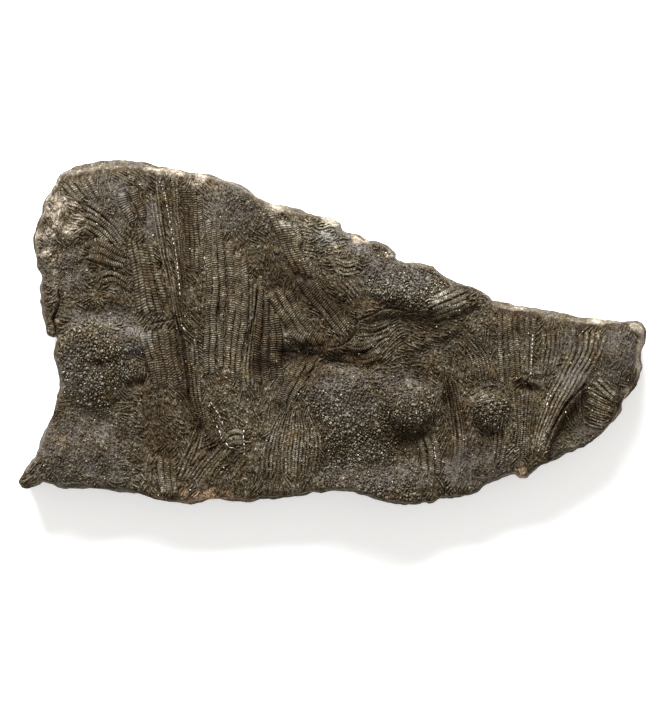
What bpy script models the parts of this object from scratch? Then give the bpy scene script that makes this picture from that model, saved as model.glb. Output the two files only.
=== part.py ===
"""Fossil crinoid: one piece of dark shale, lying with its fossil face up.

The face is crowded with the arms of sea lilies. They stand as low ridges in
bundles that cross and fan out between rounded nodules, ledges and a dark
hollow. Plan positions are millimetres from the slab's lower left corner,
heights are millimetres over its flat underside, and the mesh is made in metres.
"""

from collections import namedtuple

import bmesh
import bpy
import numpy as np
from mathutils import Vector, kdtree, noise
from mathutils.geometry import delaunay_2d_cdt

# Driving dimensions, in millimetres.
LENGTH = 145.0
WIDTH = 79.4
THICKNESS = 12.0

METRES_PER_MILLIMETRE = 0.001

# How closely the surface is modelled.
RIM_STEP = 2.4
ALONG_STEP = 2.1
OPEN_STEP = 2.35
LEAST_GAP = 0.34
RIM_MARGIN = 0.55
CRISP_STEP = 1.5

# The rounded edge of the face, and the broken sides below it.
EDGE_DROP = 1.1
EDGE_RUN = 3.6
RIM_INSET = 0.75
RIM_WOBBLE = 0.5
SIDE_STEPS = 0.16
SideRing = namedtuple("SideRing", "height_share inset wobble")
SIDE_RINGS = [
    SideRing(0.76, 0.0, 0.0),
    SideRing(0.42, 0.7, 0.9),
    SideRing(0.09, 1.0, 0.5),
    SideRing(0.0, 1.7, 0.3),
]

# The slab seen from above, clockwise from its upper left corner.
OUTLINE = [
    (8.9, 75.4), (9.8, 76.5), (12.1, 77.5), (16.2, 78.5), (21.3, 79.2), (25.9, 79.4), (30.9, 78.8),
    (38.0, 77.2), (45.7, 75.6), (51.2, 73.5), (54.0, 71.8), (57.2, 70.2), (64.7, 68.0), (72.3, 66.1),
    (74.2, 65.1), (75.0, 63.2), (78.3, 62.3), (79.9, 61.1), (83.6, 60.5), (87.1, 58.1), (88.0, 56.8),
    (95.3, 55.0), (98.8, 52.3), (106.6, 49.9), (110.1, 47.1), (116.0, 46.1), (124.8, 44.3), (134.0, 43.0),
    (142.0, 42.4), (144.0, 41.2), (145.0, 38.6), (144.8, 36.6), (143.9, 35.0), (143.2, 30.1), (142.3, 27.6),
    (139.6, 23.7), (138.6, 20.8), (133.7, 15.4), (130.1, 12.9), (126.2, 11.6), (122.7, 9.7), (118.3, 7.1),
    (117.1, 6.0), (115.3, 5.8), (113.5, 6.6), (108.2, 4.3), (104.1, 1.8), (97.4, 1.4), (95.6, 0.2),
    (93.7, 0.6), (91.2, 0.0), (83.4, 0.9), (76.5, 3.1), (69.6, 2.9), (60.8, 1.4), (56.2, 1.3), (53.5, 0.5),
    (45.4, 1.0), (38.1, 0.0), (32.3, 0.8), (25.9, 2.6), (19.0, 3.2), (11.2, 3.7), (6.1, 4.9), (4.7, 4.3),
    (1.7, 3.9), (0.2, 4.8), (0.0, 6.2), (3.3, 10.6), (4.5, 13.1), (6.8, 19.1), (8.6, 24.6), (9.5, 28.5),
    (8.2, 34.7), (8.6, 38.2), (7.5, 38.4), (6.1, 39.6), (5.6, 44.0), (5.1, 50.1), (5.4, 51.3), (5.2, 52.9),
    (4.0, 54.5), (3.5, 60.5), (4.3, 63.7), (5.9, 67.6), (6.1, 69.5), (7.0, 71.5),
]

# How far the outlines of swellings and hollows wander, and over what distance.
WANDER = 1.3
WANDER_LENGTH = 7.5

# A rounded swelling, or a hollow where its rise is negative. Its reach differs
# up and down the face, and a higher power gives it a flatter top and steeper flanks.
Mound = namedtuple("Mound", "name x y across up down turn rise power")
MOUNDS = [
    Mound("left nodule", 17.1, 35.9, 8.6, 7.4, 5.2, 0, 4.0, 2.8),
    Mound("round boss", 26.6, 37.7, 3.9, 4.1, 4.0, 0, 1.9, 2.8),
    Mound("lower boss", 26.1, 30.4, 5.6, 4.6, 3.2, 0, 2.4, 2.6),
    Mound("corner swell", 14.4, 12.2, 10.0, 6.2, 8.0, 0, 2.2, 2.0),
    Mound("big nodule", 75.3, 23.4, 13.6, 9.8, 8.4, -6, 4.4, 2.8),
    Mound("big nodule lobe", 90.7, 21.6, 7.9, 8.2, 5.6, 0, 4.2, 3.0),
    Mound("bottom nodule", 82.9, 3.9, 15.4, 7.6, 8.0, 4, 3.8, 2.8),
    Mound("right nodule", 108.7, 21.6, 6.1, 5.6, 4.8, 0, 3.5, 2.8),
    Mound("upper shoulder", 89.8, 50.8, 13.8, 8.4, 7.0, -18, 3.0, 2.6),
    Mound("crest shoulder", 50.0, 69.0, 12.0, 10.1, 14.0, 0, 1.4, 2.0),
    Mound("crest lumps", 75.3, 51.6, 9.2, 9.2, 7.0, 0, 1.2, 2.0),
    Mound("folded hump", 99.5, 46.5, 7.2, 4.4, 4.6, 25, 2.2, 2.2),
    Mound("upper left swell", 19.0, 70.2, 14.0, 9.2, 14.0, 0, 1.0, 2.0),
    Mound("right hump", 106.4, 40.2, 9.2, 6.0, 7.0, 0, 1.0, 2.0),
    Mound("tip swell", 136.7, 35.6, 7.8, 6.9, 7.8, 0, 1.2, 2.0),
    Mound("centre swell", 45.4, 47.1, 18.4, 25.3, 25.3, 0, 1.0, 2.0),
    Mound("pit", 62.7, 33.8, 10.6, 3.2, 4.1, 12, -3.0, 2.4),
    Mound("pit tail", 75.3, 32.4, 10.6, 2.1, 2.1, 4, -1.6, 2.4),
    Mound("nodule valley", 99.2, 18.6, 2.7, 12.4, 12.4, -6, -1.8, 2.2),
    Mound("right hollow", 128.2, 18.4, 7.2, 8.6, 5.8, -35, -1.6, 2.4),
    Mound("dark notch", 117.9, 27.1, 4.1, 1.6, 1.6, -20, -1.2, 2.0),
    Mound("lobe undercut", 89.1, 15.2, 6.4, 1.8, 2.5, 0, -1.5, 2.2),
    Mound("left undercut", 19.9, 31.6, 5.1, 1.6, 2.1, 0, -1.2, 2.2),
    Mound("boss undercut", 26.1, 26.7, 4.6, 1.4, 1.8, 0, -1.3, 2.2),
    Mound("left hollow", 20.1, 45.1, 7.8, 2.1, 2.8, 0, -1.3, 2.2),
    Mound("fan hollow", 21.3, 54.1, 6.9, 1.2, 2.8, -15, -1.0, 2.2),
    Mound("nodule undercut", 108.2, 16.1, 5.5, 1.8, 2.8, 0, -1.3, 2.2),
]

# A layer's broken edge: the face falls by its drop on the right of the line's way.
Ledge = namedtuple("Ledge", "name line drop run width")
LEDGES = [
    Ledge("shoulder ledge", [(78.3, 41.6), (82.2, 44.0), (88.0, 44.6), (92.0, 43.9), (96.3, 46.0)], 1.8, 8.0, 1.1),
    Ledge("layer edge", [(87.5, 35.0), (92.6, 37.0), (97.2, 38.9), (103.2, 42.1)], 1.0, 5.0, 1.0),
    Ledge("arms end", [(63.8, 38.2), (66.5, 36.2), (70.0, 35.3), (74.0, 36.2)], 1.5, 5.0, 0.9),
    Ledge("comb edge", [(74.2, 33.4), (78.8, 32.2), (84.8, 34.2)], 0.9, 4.0, 0.8),
    Ledge("fan flank", [(120.6, 9.9), (122.0, 15.0), (125.9, 21.9), (130.8, 28.6)], 2.0, 7.0, 1.0),
]

# A crack or seam: a narrow V cut into the face.
Groove = namedtuple("Groove", "name line half_width depth")
GROOVES = [
    Groove("edge crack", [(8.8, 37.9), (8.9, 40.2), (8.4, 42.8), (9.4, 45.1), (9.8, 47.6), (9.5, 49.9)], 0.5, 3.0),
    Groove("ridge seam", [(33.5, 67.4), (34.4, 60.5), (35.8, 52.9), (37.1, 45.3), (39.0, 36.0)], 0.5, 1.0),
    Groove("stub seam", [(23.6, 72.7), (26.1, 73.4), (28.2, 72.5), (29.6, 68.3), (29.3, 64.6), (27.5, 62.6)], 0.5, 0.8),
]

# Arms lying side by side between a left and a right guide line. A later
# bundle lies over an earlier one.
Bundle = namedtuple("Bundle", "name ridges left right")
BUNDLES = [
    Bundle("top left fan", 6,
           [(9.1, 74.3), (12.1, 71.5), (15.3, 69.0)],
           [(16.2, 76.6), (18.1, 73.4), (19.9, 69.7)]),
    Bundle("left fan", 7,
           [(14.4, 62.3), (17.1, 61.4), (20.4, 58.9), (24.0, 55.7)],
           [(15.8, 70.6), (19.0, 68.3), (22.2, 65.5), (25.4, 61.0)]),
    Bundle("left fan hem", 3,
           [(14.4, 58.7), (17.1, 57.3), (20.4, 55.2), (25.4, 53.6)],
           [(14.4, 61.0), (17.4, 60.7), (20.8, 58.2), (24.5, 55.4)]),
    Bundle("hooked arms", 2,
           [(19.0, 49.0), (20.6, 51.1), (22.7, 52.0), (25.4, 50.6)],
           [(17.1, 51.3), (19.2, 53.6), (22.4, 54.7), (26.1, 53.8)]),
    Bundle("stem stub", 2,
           [(23.6, 72.0), (24.5, 67.9), (26.3, 63.5)],
           [(27.5, 73.1), (29.1, 69.2), (29.3, 65.1)]),
    Bundle("ribbed band", 5,
           [(25.2, 61.4), (25.9, 55.9), (26.8, 49.5), (27.7, 42.6)],
           [(30.5, 62.3), (32.3, 55.9), (34.2, 49.5), (36.0, 43.2)]),
    Bundle("ribbed band foot", 6,
           [(27.7, 40.9), (28.4, 36.8), (29.8, 32.0), (31.9, 26.0)],
           [(36.5, 42.1), (36.9, 36.8), (37.8, 32.0), (39.2, 26.0)]),
    Bundle("upper ladder", 4,
           [(37.6, 75.2), (38.1, 66.7), (38.5, 59.8), (39.2, 52.2)],
           [(42.2, 72.5), (42.7, 65.5), (42.9, 59.8), (42.9, 52.2)]),
    Bundle("beaded arms", 4,
           [(32.5, 75.7), (34.2, 67.4), (35.5, 58.7), (36.9, 50.6), (38.3, 39.8)],
           [(37.1, 76.6), (37.6, 67.4), (38.3, 58.7), (39.4, 50.6), (40.6, 39.8)]),
    Bundle("main ridge", 2,
           [(30.2, 74.8), (31.2, 66.7), (32.5, 59.8), (34.4, 51.8), (36.0, 43.7), (37.1, 38.0)],
           [(32.1, 75.2), (33.2, 67.9), (34.4, 60.5), (36.2, 52.2), (37.8, 43.7), (38.8, 38.0)]),
    Bundle("ridge foot", 4,
           [(37.1, 38.4), (37.8, 31.5), (39.0, 24.2), (41.5, 18.6)],
           [(41.3, 38.9), (42.2, 31.1), (42.7, 24.2), (43.6, 18.6)]),
    Bundle("centre ladder", 3,
           [(43.1, 66.7), (43.4, 58.7), (43.4, 49.5), (42.9, 40.2), (43.1, 27.8)],
           [(47.0, 63.2), (48.0, 55.9), (48.2, 47.1), (47.5, 38.0), (47.5, 27.8)]),
    Bundle("centre column", 3,
           [(48.0, 63.2), (48.6, 55.9), (48.6, 47.1), (48.0, 38.0), (48.0, 27.8)],
           [(52.3, 55.9), (52.8, 49.5), (52.8, 41.4), (51.4, 34.5), (50.9, 27.4)]),
    Bundle("reed arms", 3,
           [(52.8, 53.6), (53.2, 47.1), (53.2, 40.2), (51.9, 33.8), (51.4, 24.6)],
           [(56.9, 53.6), (56.0, 47.1), (54.9, 40.2), (54.4, 33.8), (54.9, 24.6)]),
    Bundle("dark ladder", 4,
           [(56.0, 50.6), (55.3, 44.9), (54.4, 36.8), (55.1, 26.9)],
           [(60.1, 50.6), (60.6, 44.4), (61.1, 36.8), (61.3, 27.8)]),
    Bundle("upper slant", 5,
           [(57.6, 68.8), (59.5, 62.1), (62.2, 55.9), (65.0, 51.3)],
           [(64.3, 65.1), (65.9, 59.8), (67.7, 55.2), (69.6, 50.4)]),
    Bundle("slanting fan", 4,
           [(56.7, 49.9), (59.5, 44.4), (62.7, 39.3), (66.8, 36.3)],
           [(62.7, 51.1), (65.4, 45.3), (69.1, 39.8), (72.8, 36.3)]),
    Bundle("slanting fan top", 4,
           [(63.1, 53.6), (66.1, 48.5), (70.0, 43.0), (74.6, 37.5)],
           [(68.7, 51.8), (71.9, 47.1), (74.9, 43.5), (78.1, 39.8)]),
    Bundle("short ribs", 6,
           [(65.4, 57.0), (67.3, 56.6), (69.1, 56.4)],
           [(64.7, 63.9), (66.4, 63.5), (68.2, 63.0)]),
    Bundle("arched ribs", 4,
           [(72.3, 53.8), (75.6, 52.4), (79.5, 53.6)],
           [(72.8, 57.3), (75.6, 56.1), (79.0, 57.3)]),
    Bundle("wavy ribs", 4,
           [(73.0, 51.8), (75.3, 49.0), (78.1, 46.2)],
           [(76.9, 53.1), (78.8, 50.4), (80.4, 47.6)]),
    Bundle("folded arms", 4,
           [(95.1, 41.9), (98.6, 42.8), (102.0, 44.2), (104.1, 46.0)],
           [(93.3, 46.9), (96.9, 48.8), (100.6, 50.6), (104.1, 51.5)]),
    Bundle("upper comb", 3,
           [(78.1, 38.6), (82.0, 38.9), (86.6, 40.5)],
           [(78.3, 42.1), (81.8, 41.6), (86.1, 43.5)]),
    Bundle("middle comb", 2,
           [(74.6, 35.2), (78.3, 35.2), (82.0, 36.6), (86.6, 38.6)],
           [(76.9, 38.0), (79.7, 37.7), (82.9, 38.6), (86.6, 40.2)]),
    Bundle("lower comb", 2,
           [(76.5, 32.4), (80.2, 32.4), (84.3, 34.0)],
           [(77.9, 34.7), (81.1, 35.2), (84.3, 36.8)]),
    Bundle("crossing arms", 3,
           [(65.2, 35.4), (62.2, 30.1), (59.7, 25.1), (58.1, 20.9)],
           [(69.8, 35.2), (66.8, 29.9), (64.3, 25.5), (62.2, 20.9)]),
    Bundle("lower fan", 9,
           [(61.8, 23.7), (58.3, 17.9), (56.5, 12.2), (56.2, 4.8)],
           [(66.6, 23.0), (69.1, 17.7), (70.0, 12.7), (69.1, 6.2)]),
    Bundle("radiating arms", 4,
           [(41.1, 18.2), (39.2, 13.8), (36.9, 9.0), (34.6, 3.5)],
           [(43.4, 18.6), (43.4, 14.5), (42.0, 9.4), (40.6, 3.9)]),
    Bundle("radiating hem", 5,
           [(42.0, 13.1), (39.7, 9.4), (36.9, 5.3)],
           [(51.2, 13.6), (47.0, 9.9), (42.9, 4.4)]),
    Bundle("cup", 3,
           [(47.5, 15.0), (48.0, 16.8), (50.3, 17.7), (52.6, 17.2)],
           [(48.4, 13.1), (49.8, 13.6), (51.2, 13.6), (52.6, 14.0)]),
    Bundle("low columns", 3,
           [(32.3, 11.5), (32.3, 6.2), (32.8, 1.4)],
           [(36.9, 11.5), (36.9, 6.2), (37.1, 1.4)]),
    Bundle("valley arms", 4,
           [(97.4, 30.6), (98.8, 23.0), (99.7, 15.0), (98.8, 8.1)],
           [(100.4, 31.1), (102.2, 23.7), (103.4, 15.9), (103.6, 9.2)]),
    Bundle("nodule columns", 3,
           [(91.9, 15.9), (92.6, 11.3), (93.3, 5.8)],
           [(96.3, 17.2), (97.2, 12.2), (97.9, 6.2)]),
    Bundle("feathered arms", 4,
           [(99.9, 38.4), (102.9, 35.2), (104.8, 31.1), (105.5, 27.4)],
           [(104.3, 40.2), (107.1, 36.8), (108.9, 33.1), (109.6, 28.3)]),
    Bundle("right reeds", 6,
           [(110.1, 45.8), (110.5, 38.0), (111.0, 27.6)],
           [(119.0, 44.4), (118.8, 36.8), (118.6, 28.8)]),
    Bundle("fan edge", 4,
           [(120.2, 41.2), (120.4, 34.5), (119.7, 28.3)],
           [(125.5, 42.1), (125.5, 36.1), (123.2, 30.1)]),
    Bundle("right columns", 5,
           [(113.3, 26.9), (114.4, 19.1), (113.0, 9.0)],
           [(119.7, 27.8), (118.3, 20.7), (117.6, 9.9)]),
    Bundle("right fan", 6,
           [(125.5, 42.1), (126.4, 36.8), (123.9, 29.9), (120.6, 23.0), (118.6, 16.1), (117.6, 10.8)],
           [(136.3, 41.6), (134.4, 35.6), (130.8, 29.2), (126.2, 22.3), (122.2, 15.0), (120.6, 10.8)]),
    Bundle("right ladder", 3,
           [(108.9, 18.6), (109.4, 13.8), (108.4, 9.0)],
           [(112.6, 18.2), (112.6, 13.8), (111.2, 8.5)]),
    Bundle("tip hair", 7,
           [(130.3, 18.6), (134.0, 17.7), (137.0, 18.6)],
           [(130.3, 27.8), (134.4, 25.5), (139.0, 23.0)]),
    Bundle("tip thread", 2,
           [(131.4, 29.0), (134.7, 25.5), (138.1, 21.9)],
           [(133.1, 30.4), (136.3, 27.1), (139.7, 24.2)]),
    Bundle("hollow hair", 4,
           [(124.8, 21.4), (125.9, 18.6), (128.5, 16.3)],
           [(129.4, 27.4), (129.4, 22.8), (130.1, 18.2)]),
]
ARM_RISE_PER_WIDTH = 0.42
ARM_RISE_LIMITS = (0.4, 0.85)
END_RISE = 0.35
VALLEY_SHARE = 0.25


def spline(points, count, closed=False):
    """Returns count points at equal steps along a smooth line through the points."""
    given = np.array(points, dtype=float)
    if closed:
        padded = np.vstack([given[-1:], given, given[:2]])
    else:
        padded = np.vstack([2 * given[0] - given[1], given, 2 * given[-1] - given[-2]])
    t = np.linspace(0.0, 1.0, 13)[:-1, None]
    pieces = []
    for a, b, c, d in zip(padded[:-3], padded[1:-2], padded[2:-1], padded[3:]):
        pieces.append(b + 0.5 * t * (c - a + t * (2 * a - 5 * b + 4 * c - d + t * (3 * b - a - 3 * c + d))))
    pieces.append(given[:1] if closed else given[-1:])
    line = np.vstack(pieces)
    reach = np.concatenate([[0.0], np.cumsum(np.linalg.norm(np.diff(line, axis=0), axis=1))])
    stops = np.linspace(0.0, reach[-1], count + 1)[:-1] if closed else np.linspace(0.0, reach[-1], count)
    return np.column_stack([np.interp(stops, reach, line[:, axis]) for axis in range(2)])


def line_length(points):
    """Returns the length of a line through the points."""
    return float(np.linalg.norm(np.diff(np.array(points), axis=0), axis=1).sum())


def inside(points, polygon):
    """Tells which points lie inside a polygon."""
    result = np.zeros(len(points), dtype=bool)
    for (x0, y0), (x1, y1) in zip(polygon, np.roll(polygon, -1, axis=0)):
        crosses = (y0 > points[:, 1]) != (y1 > points[:, 1])
        if y0 != y1:
            result ^= crosses & (points[:, 0] < x0 + (points[:, 1] - y0) * (x1 - x0) / (y1 - y0))
    return result


def line_distance(points, line, closed=False):
    """Returns each point's distance to a line, its side (left is positive) and its share along the line."""
    line = np.array(line, dtype=float)
    starts = line if closed else line[:-1]
    ends = np.roll(line, -1, axis=0) if closed else line[1:]
    lengths = np.linalg.norm(ends - starts, axis=1)
    before = np.concatenate([[0.0], np.cumsum(lengths)[:-1]])
    nearest = np.full(len(points), np.inf)
    side = np.zeros(len(points))
    share = np.zeros(len(points))
    for start, end, length, reach in zip(starts, ends, lengths, before):
        way = (end - start) / length
        offset = points - start
        along = np.clip(offset @ way, 0.0, length)
        distance = np.linalg.norm(offset - along[:, None] * way, axis=1)
        closer = distance < nearest
        nearest[closer] = distance[closer]
        side[closer] = np.where(way[0] * offset[closer, 1] - way[1] * offset[closer, 0] >= 0.0, 1.0, -1.0)
        share[closer] = (reach + along[closer]) / lengths.sum()
    return nearest, side, share


def mound_height(points, mound):
    """Returns one swelling's share of the height."""
    turn = np.radians(mound.turn)
    x = points[:, 0] - mound.x
    y = points[:, 1] - mound.y
    across = x * np.cos(turn) + y * np.sin(turn)
    upward = y * np.cos(turn) - x * np.sin(turn)
    reach = np.hypot(across / mound.across, upward / np.where(upward > 0.0, mound.up, mound.down))
    return abs(mound.rise) * np.clip(1.0 - reach ** mound.power, 0.0, None) ** 1.5


def smooth_union(heights):
    """Joins overlapping swellings without adding them up in full."""
    return np.sum(np.array(heights) ** 3, axis=0) ** (1.0 / 3.0)


def ledge_height(points, ledge):
    """Returns the height that a layer keeps behind its broken edge."""
    distance, side, share = line_distance(points, ledge.line)
    behind = np.clip(1.0 - distance / ledge.run, 0.0, 1.0) ** 2
    front = np.clip(1.0 - distance / ledge.width, 0.0, 1.0)
    fade = np.clip(6.0 * np.minimum(share, 1.0 - share) + 0.15, 0.0, 1.0)
    return ledge.drop * fade * np.where(side > 0.0, behind, front)


def groove_depth(points, groove):
    """Returns how deep a seam cuts, full along its line and shallow at its inner end."""
    distance, _, share = line_distance(points, groove.line)
    fade = np.clip(5.0 * (1.0 - share), 0.0, 1.0)
    return groove.depth * fade * np.clip(1.0 - distance / groove.half_width, 0.0, 1.0)


def undulation(points):
    """Returns the slab's gentle unevenness."""
    heights = []
    for x, y in points:
        broad = noise.noise(Vector((x, y, 3.0)) / 21.0)
        middle = noise.noise(Vector((x, y, 9.0)) / 8.0)
        lumpy = noise.noise(Vector((x, y, 17.0)) / 3.2)
        heights.append(0.7 * broad + 0.35 * middle + 0.22 * lumpy)
    return np.array(heights)


def wander(points):
    """Returns the points moved a little, so that round forms get uneven outlines."""
    moved = []
    for x, y in points:
        step = noise.noise_vector(Vector((x, y, 60.0)) / WANDER_LENGTH)
        moved.append((x + WANDER * step.x, y + WANDER * step.y))
    return np.array(moved)


def face_height(points, rim):
    """Returns the height of the bare face, between the arms."""
    uneven = wander(points)
    raised = smooth_union([mound_height(uneven, m) for m in MOUNDS if m.rise > 0.0])
    sunk = smooth_union([mound_height(uneven, m) for m in MOUNDS if m.rise < 0.0])
    layers = sum(ledge_height(points, ledge) for ledge in LEDGES)
    seams = sum(groove_depth(points, groove) for groove in GROOVES)
    to_edge = line_distance(points, rim, closed=True)[0]
    rolled = EDGE_DROP * np.clip(1.0 - to_edge / EDGE_RUN, 0.0, 1.0) ** 2
    return THICKNESS + undulation(points) + raised - sunk + layers - seams - rolled


def outward_normals(ring):
    """Returns smoothed outward directions along a clockwise ring."""
    way = np.roll(ring, -1, axis=0) - np.roll(ring, 1, axis=0)
    normals = np.column_stack([-way[:, 1], way[:, 0]])
    for _ in range(3):
        normals = normals + 0.5 * (np.roll(normals, 1, axis=0) + np.roll(normals, -1, axis=0))
        normals /= np.linalg.norm(normals, axis=1)[:, None]
    return normals


def arm_lattice(bundle):
    """Returns a bundle's columns of valley and crest points, and how far each stands up."""
    length = 0.5 * (line_length(bundle.left) + line_length(bundle.right))
    rows = max(4, round(length / ALONG_STEP) + 1)
    left = spline(bundle.left, rows)
    right = spline(bundle.right, rows)
    width = np.linalg.norm(right - left, axis=1) / bundle.ridges
    rise = np.clip(ARM_RISE_PER_WIDTH * width, *ARM_RISE_LIMITS)
    rise[[0, -1]] *= END_RISE
    points = []
    rises = []
    for column in range(2 * bundle.ridges + 1):
        is_crest = column % 2 == 1
        points.append(left + (right - left) * column / (2.0 * bundle.ridges))
        rises.append(rise if is_crest else -VALLEY_SHARE * rise)
    return points, rises


def bundle_polygon(bundle):
    """Returns the outline of the ground that a bundle covers."""
    return np.vstack([spline(bundle.left, 12), spline(bundle.right, 12)[::-1]])


def open_lattice():
    """Returns staggered points over the whole slab."""
    rows = []
    for index, y in enumerate(np.arange(0.0, WIDTH, OPEN_STEP * 0.866)):
        x = np.arange(0.0, LENGTH, OPEN_STEP) + 0.5 * OPEN_STEP * (index % 2)
        rows.append(np.column_stack([x, np.full(len(x), y)]))
    return np.vstack(rows)


def beside(line, distance):
    """Returns a line moved to its right by a distance."""
    way = np.gradient(line, axis=0)
    right = np.column_stack([way[:, 1], -way[:, 0]]) / np.linalg.norm(way, axis=1)[:, None]
    return line + distance * right


def crisp_lines():
    """Returns lines of points along the ledges and seams, whose edges stay crisp."""
    lines = []
    for ledge in LEDGES:
        edge = spline(ledge.line, round(line_length(ledge.line) / CRISP_STEP) + 1)
        lines += [beside(edge, -0.1), beside(edge, ledge.width)]
    for groove in GROOVES:
        middle = spline(groove.line, round(line_length(groove.line) / CRISP_STEP) + 1)
        lines += [beside(middle, offset) for offset in (0.0, -groove.half_width, groove.half_width)]
    return lines


def outside_all(points, polygons):
    """Tells which points lie in none of the polygons."""
    free = np.ones(len(points), dtype=bool)
    for polygon in polygons:
        free &= ~inside(points, polygon)
    return free


def gather_lines():
    """Collects lines of points: seams first, then the arms from the top bundle down, then the open ground."""
    lines = [(line, np.zeros(len(line)), True) for line in crisp_lines()]
    covered = []
    for bundle in reversed(BUNDLES):
        for points, rises in zip(*arm_lattice(bundle)):
            rises = np.where(outside_all(points, covered), rises, np.nan)
            lines.append((points, rises, True))
        covered.append(bundle_polygon(bundle))
    ground = open_lattice()
    ground = ground[outside_all(ground, covered)]
    lines.append((ground, np.zeros(len(ground)), False))
    return lines


def gather_points(rim):
    """Returns the face's inner points, how far each stands up, and the edges that run along the lines."""
    lines = gather_lines()
    points = np.vstack([line[0] for line in lines])
    rises = np.concatenate([line[1] for line in lines])
    usable = ~np.isnan(rises) & inside(points, rim)
    usable &= line_distance(points, rim, closed=True)[0] > RIM_MARGIN
    tree = kdtree.KDTree(len(points))
    for index, (x, y) in enumerate(points):
        tree.insert((x, y, 0.0), index)
    tree.balance()
    for index, (x, y) in enumerate(points):
        if usable[index]:
            close = [other for _, other, _ in tree.find_range((x, y, 0.0), LEAST_GAP) if other > index]
            usable[close] = False

    number = np.cumsum(usable) - 1
    edges = []
    start = 0
    for line, _, linked in lines:
        for index in range(start, start + len(line) - 1):
            if linked and usable[index] and usable[index + 1]:
                edges.append((int(number[index]), int(number[index + 1])))
        start += len(line)
    return points[usable], rises[usable], edges


def build_slab_mesh():
    """Models the slab as one closed body: face, broken sides and flat underside."""
    outline = spline(OUTLINE, round(line_length(OUTLINE) / RIM_STEP), closed=True)
    normals = outward_normals(outline)
    inset = [RIM_INSET + RIM_WOBBLE * noise.noise(Vector((x, y, 40.0)) / 6.0) for x, y in outline]
    rim = outline - normals * np.array(inset)[:, None]
    inner, rises, inner_edges = gather_points(rim)
    count = len(rim)
    rim_edges = [(i, (i + 1) % count) for i in range(count)]
    edges = rim_edges + [(count + a, count + b) for a, b in inner_edges]
    plan = [Vector(point) for point in np.vstack([rim, inner])]
    points, _, triangles, sources, _, _ = delaunay_2d_cdt(plan, edges, [], 1, 1e-5)
    heights = face_height(np.array(points), rim)

    body = bmesh.new()
    face = []
    rim_verts = [None] * count
    for point, height, source in zip(points, heights, sources):
        rise = rises[source[0] - count] if source and source[0] >= count else 0.0
        vert = body.verts.new((point.x, point.y, height + rise))
        face.append(vert)
        if source and source[0] < count:
            rim_verts[source[0]] = vert
    for triangle in triangles:
        body.faces.new([face[i] for i in triangle])

    upper = rim_verts
    for ring in SIDE_RINGS:
        lower = []
        for index, (x, y) in enumerate(outline):
            level = noise.noise(Vector((x, y, 90.0 * ring.height_share)) / 5.0)
            broken = noise.noise(Vector((x, y, 70.0 - 90.0 * ring.height_share)) / 3.5)
            height = rim_verts[index].co.z * ring.height_share * (1.0 + SIDE_STEPS * level)
            spot = outline[index] - normals[index] * (ring.inset + ring.wobble * broken)
            lower.append(body.verts.new((spot[0], spot[1], height)))
        for index in range(count):
            following = (index + 1) % count
            body.faces.new([upper[index], upper[following], lower[following], lower[index]])
        upper = lower
    body.faces.new(upper)

    bmesh.ops.recalc_face_normals(body, faces=body.faces)
    across = [vert.co.x for vert in body.verts]
    along = [vert.co.y for vert in body.verts]
    centre = Vector((0.5 * (min(across) + max(across)), 0.5 * (min(along) + max(along)), 0.0))
    fit = Vector((LENGTH / (max(across) - min(across)), WIDTH / (max(along) - min(along)), 1.0))
    bmesh.ops.translate(body, vec=-centre, verts=body.verts)
    bmesh.ops.scale(body, vec=fit * METRES_PER_MILLIMETRE, verts=body.verts)
    bmesh.ops.triangulate(body, faces=body.faces)
    mesh = bpy.data.meshes.new("fossil_slab")
    body.to_mesh(mesh)
    body.free()
    return mesh


def shale_material():
    """Dark brown-grey shale, dull all over."""
    material = bpy.data.materials.new("shale")
    material.use_nodes = True
    shader = material.node_tree.nodes["Principled BSDF"]
    shader.inputs["Base Color"].default_value = (0.095, 0.077, 0.052, 1.0)
    shader.inputs["Roughness"].default_value = 0.78
    shader.inputs["Metallic"].default_value = 0.0
    return material


def main():
    for old in list(bpy.data.objects):
        bpy.data.objects.remove(old)
    collection = bpy.data.collections.new("fossil_crinoid")
    bpy.context.scene.collection.children.link(collection)
    mesh = build_slab_mesh()
    mesh.materials.append(shale_material())
    slab = bpy.data.objects.new("fossil_slab", mesh)
    collection.objects.link(slab)


main()
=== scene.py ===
"""Fossil crinoid slab: the looks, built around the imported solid.

The slab's fine surface, the ribbed arms, the mats of pinnules between them, the grit,
the calcite threads and the bright flecks are all meshes made here. Plan positions are
millimetres from the slab's lower left corner and heights are millimetres over its
underside, as in the part's own source; meshes are made in metres.
"""

from collections import namedtuple

import bpy
import numpy as np
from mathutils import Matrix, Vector, noise
from mathutils.geometry import delaunay_2d_cdt


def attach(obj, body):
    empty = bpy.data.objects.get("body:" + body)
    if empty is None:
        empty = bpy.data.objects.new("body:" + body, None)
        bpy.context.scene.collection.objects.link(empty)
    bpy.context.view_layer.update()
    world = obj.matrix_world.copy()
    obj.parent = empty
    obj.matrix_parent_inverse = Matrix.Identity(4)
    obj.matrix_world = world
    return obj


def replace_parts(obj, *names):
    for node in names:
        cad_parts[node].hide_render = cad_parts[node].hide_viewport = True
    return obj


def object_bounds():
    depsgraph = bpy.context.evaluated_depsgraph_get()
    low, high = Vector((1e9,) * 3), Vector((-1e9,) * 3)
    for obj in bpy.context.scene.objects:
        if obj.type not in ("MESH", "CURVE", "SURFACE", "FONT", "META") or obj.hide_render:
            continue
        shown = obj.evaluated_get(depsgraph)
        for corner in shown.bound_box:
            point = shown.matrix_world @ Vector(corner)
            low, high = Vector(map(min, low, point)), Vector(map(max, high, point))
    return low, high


METRES_PER_MILLIMETRE = 0.001
SEED = 20

# The slab's driving dimensions, as in the part.
LENGTH = 145.0
WIDTH = 79.4
THICKNESS = 12.0
EDGE_DROP = 0.4
EDGE_RUN = 3.6
RIM_INSET = 0.75
WANDER = 1.3
WANDER_LENGTH = 7.5

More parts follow.
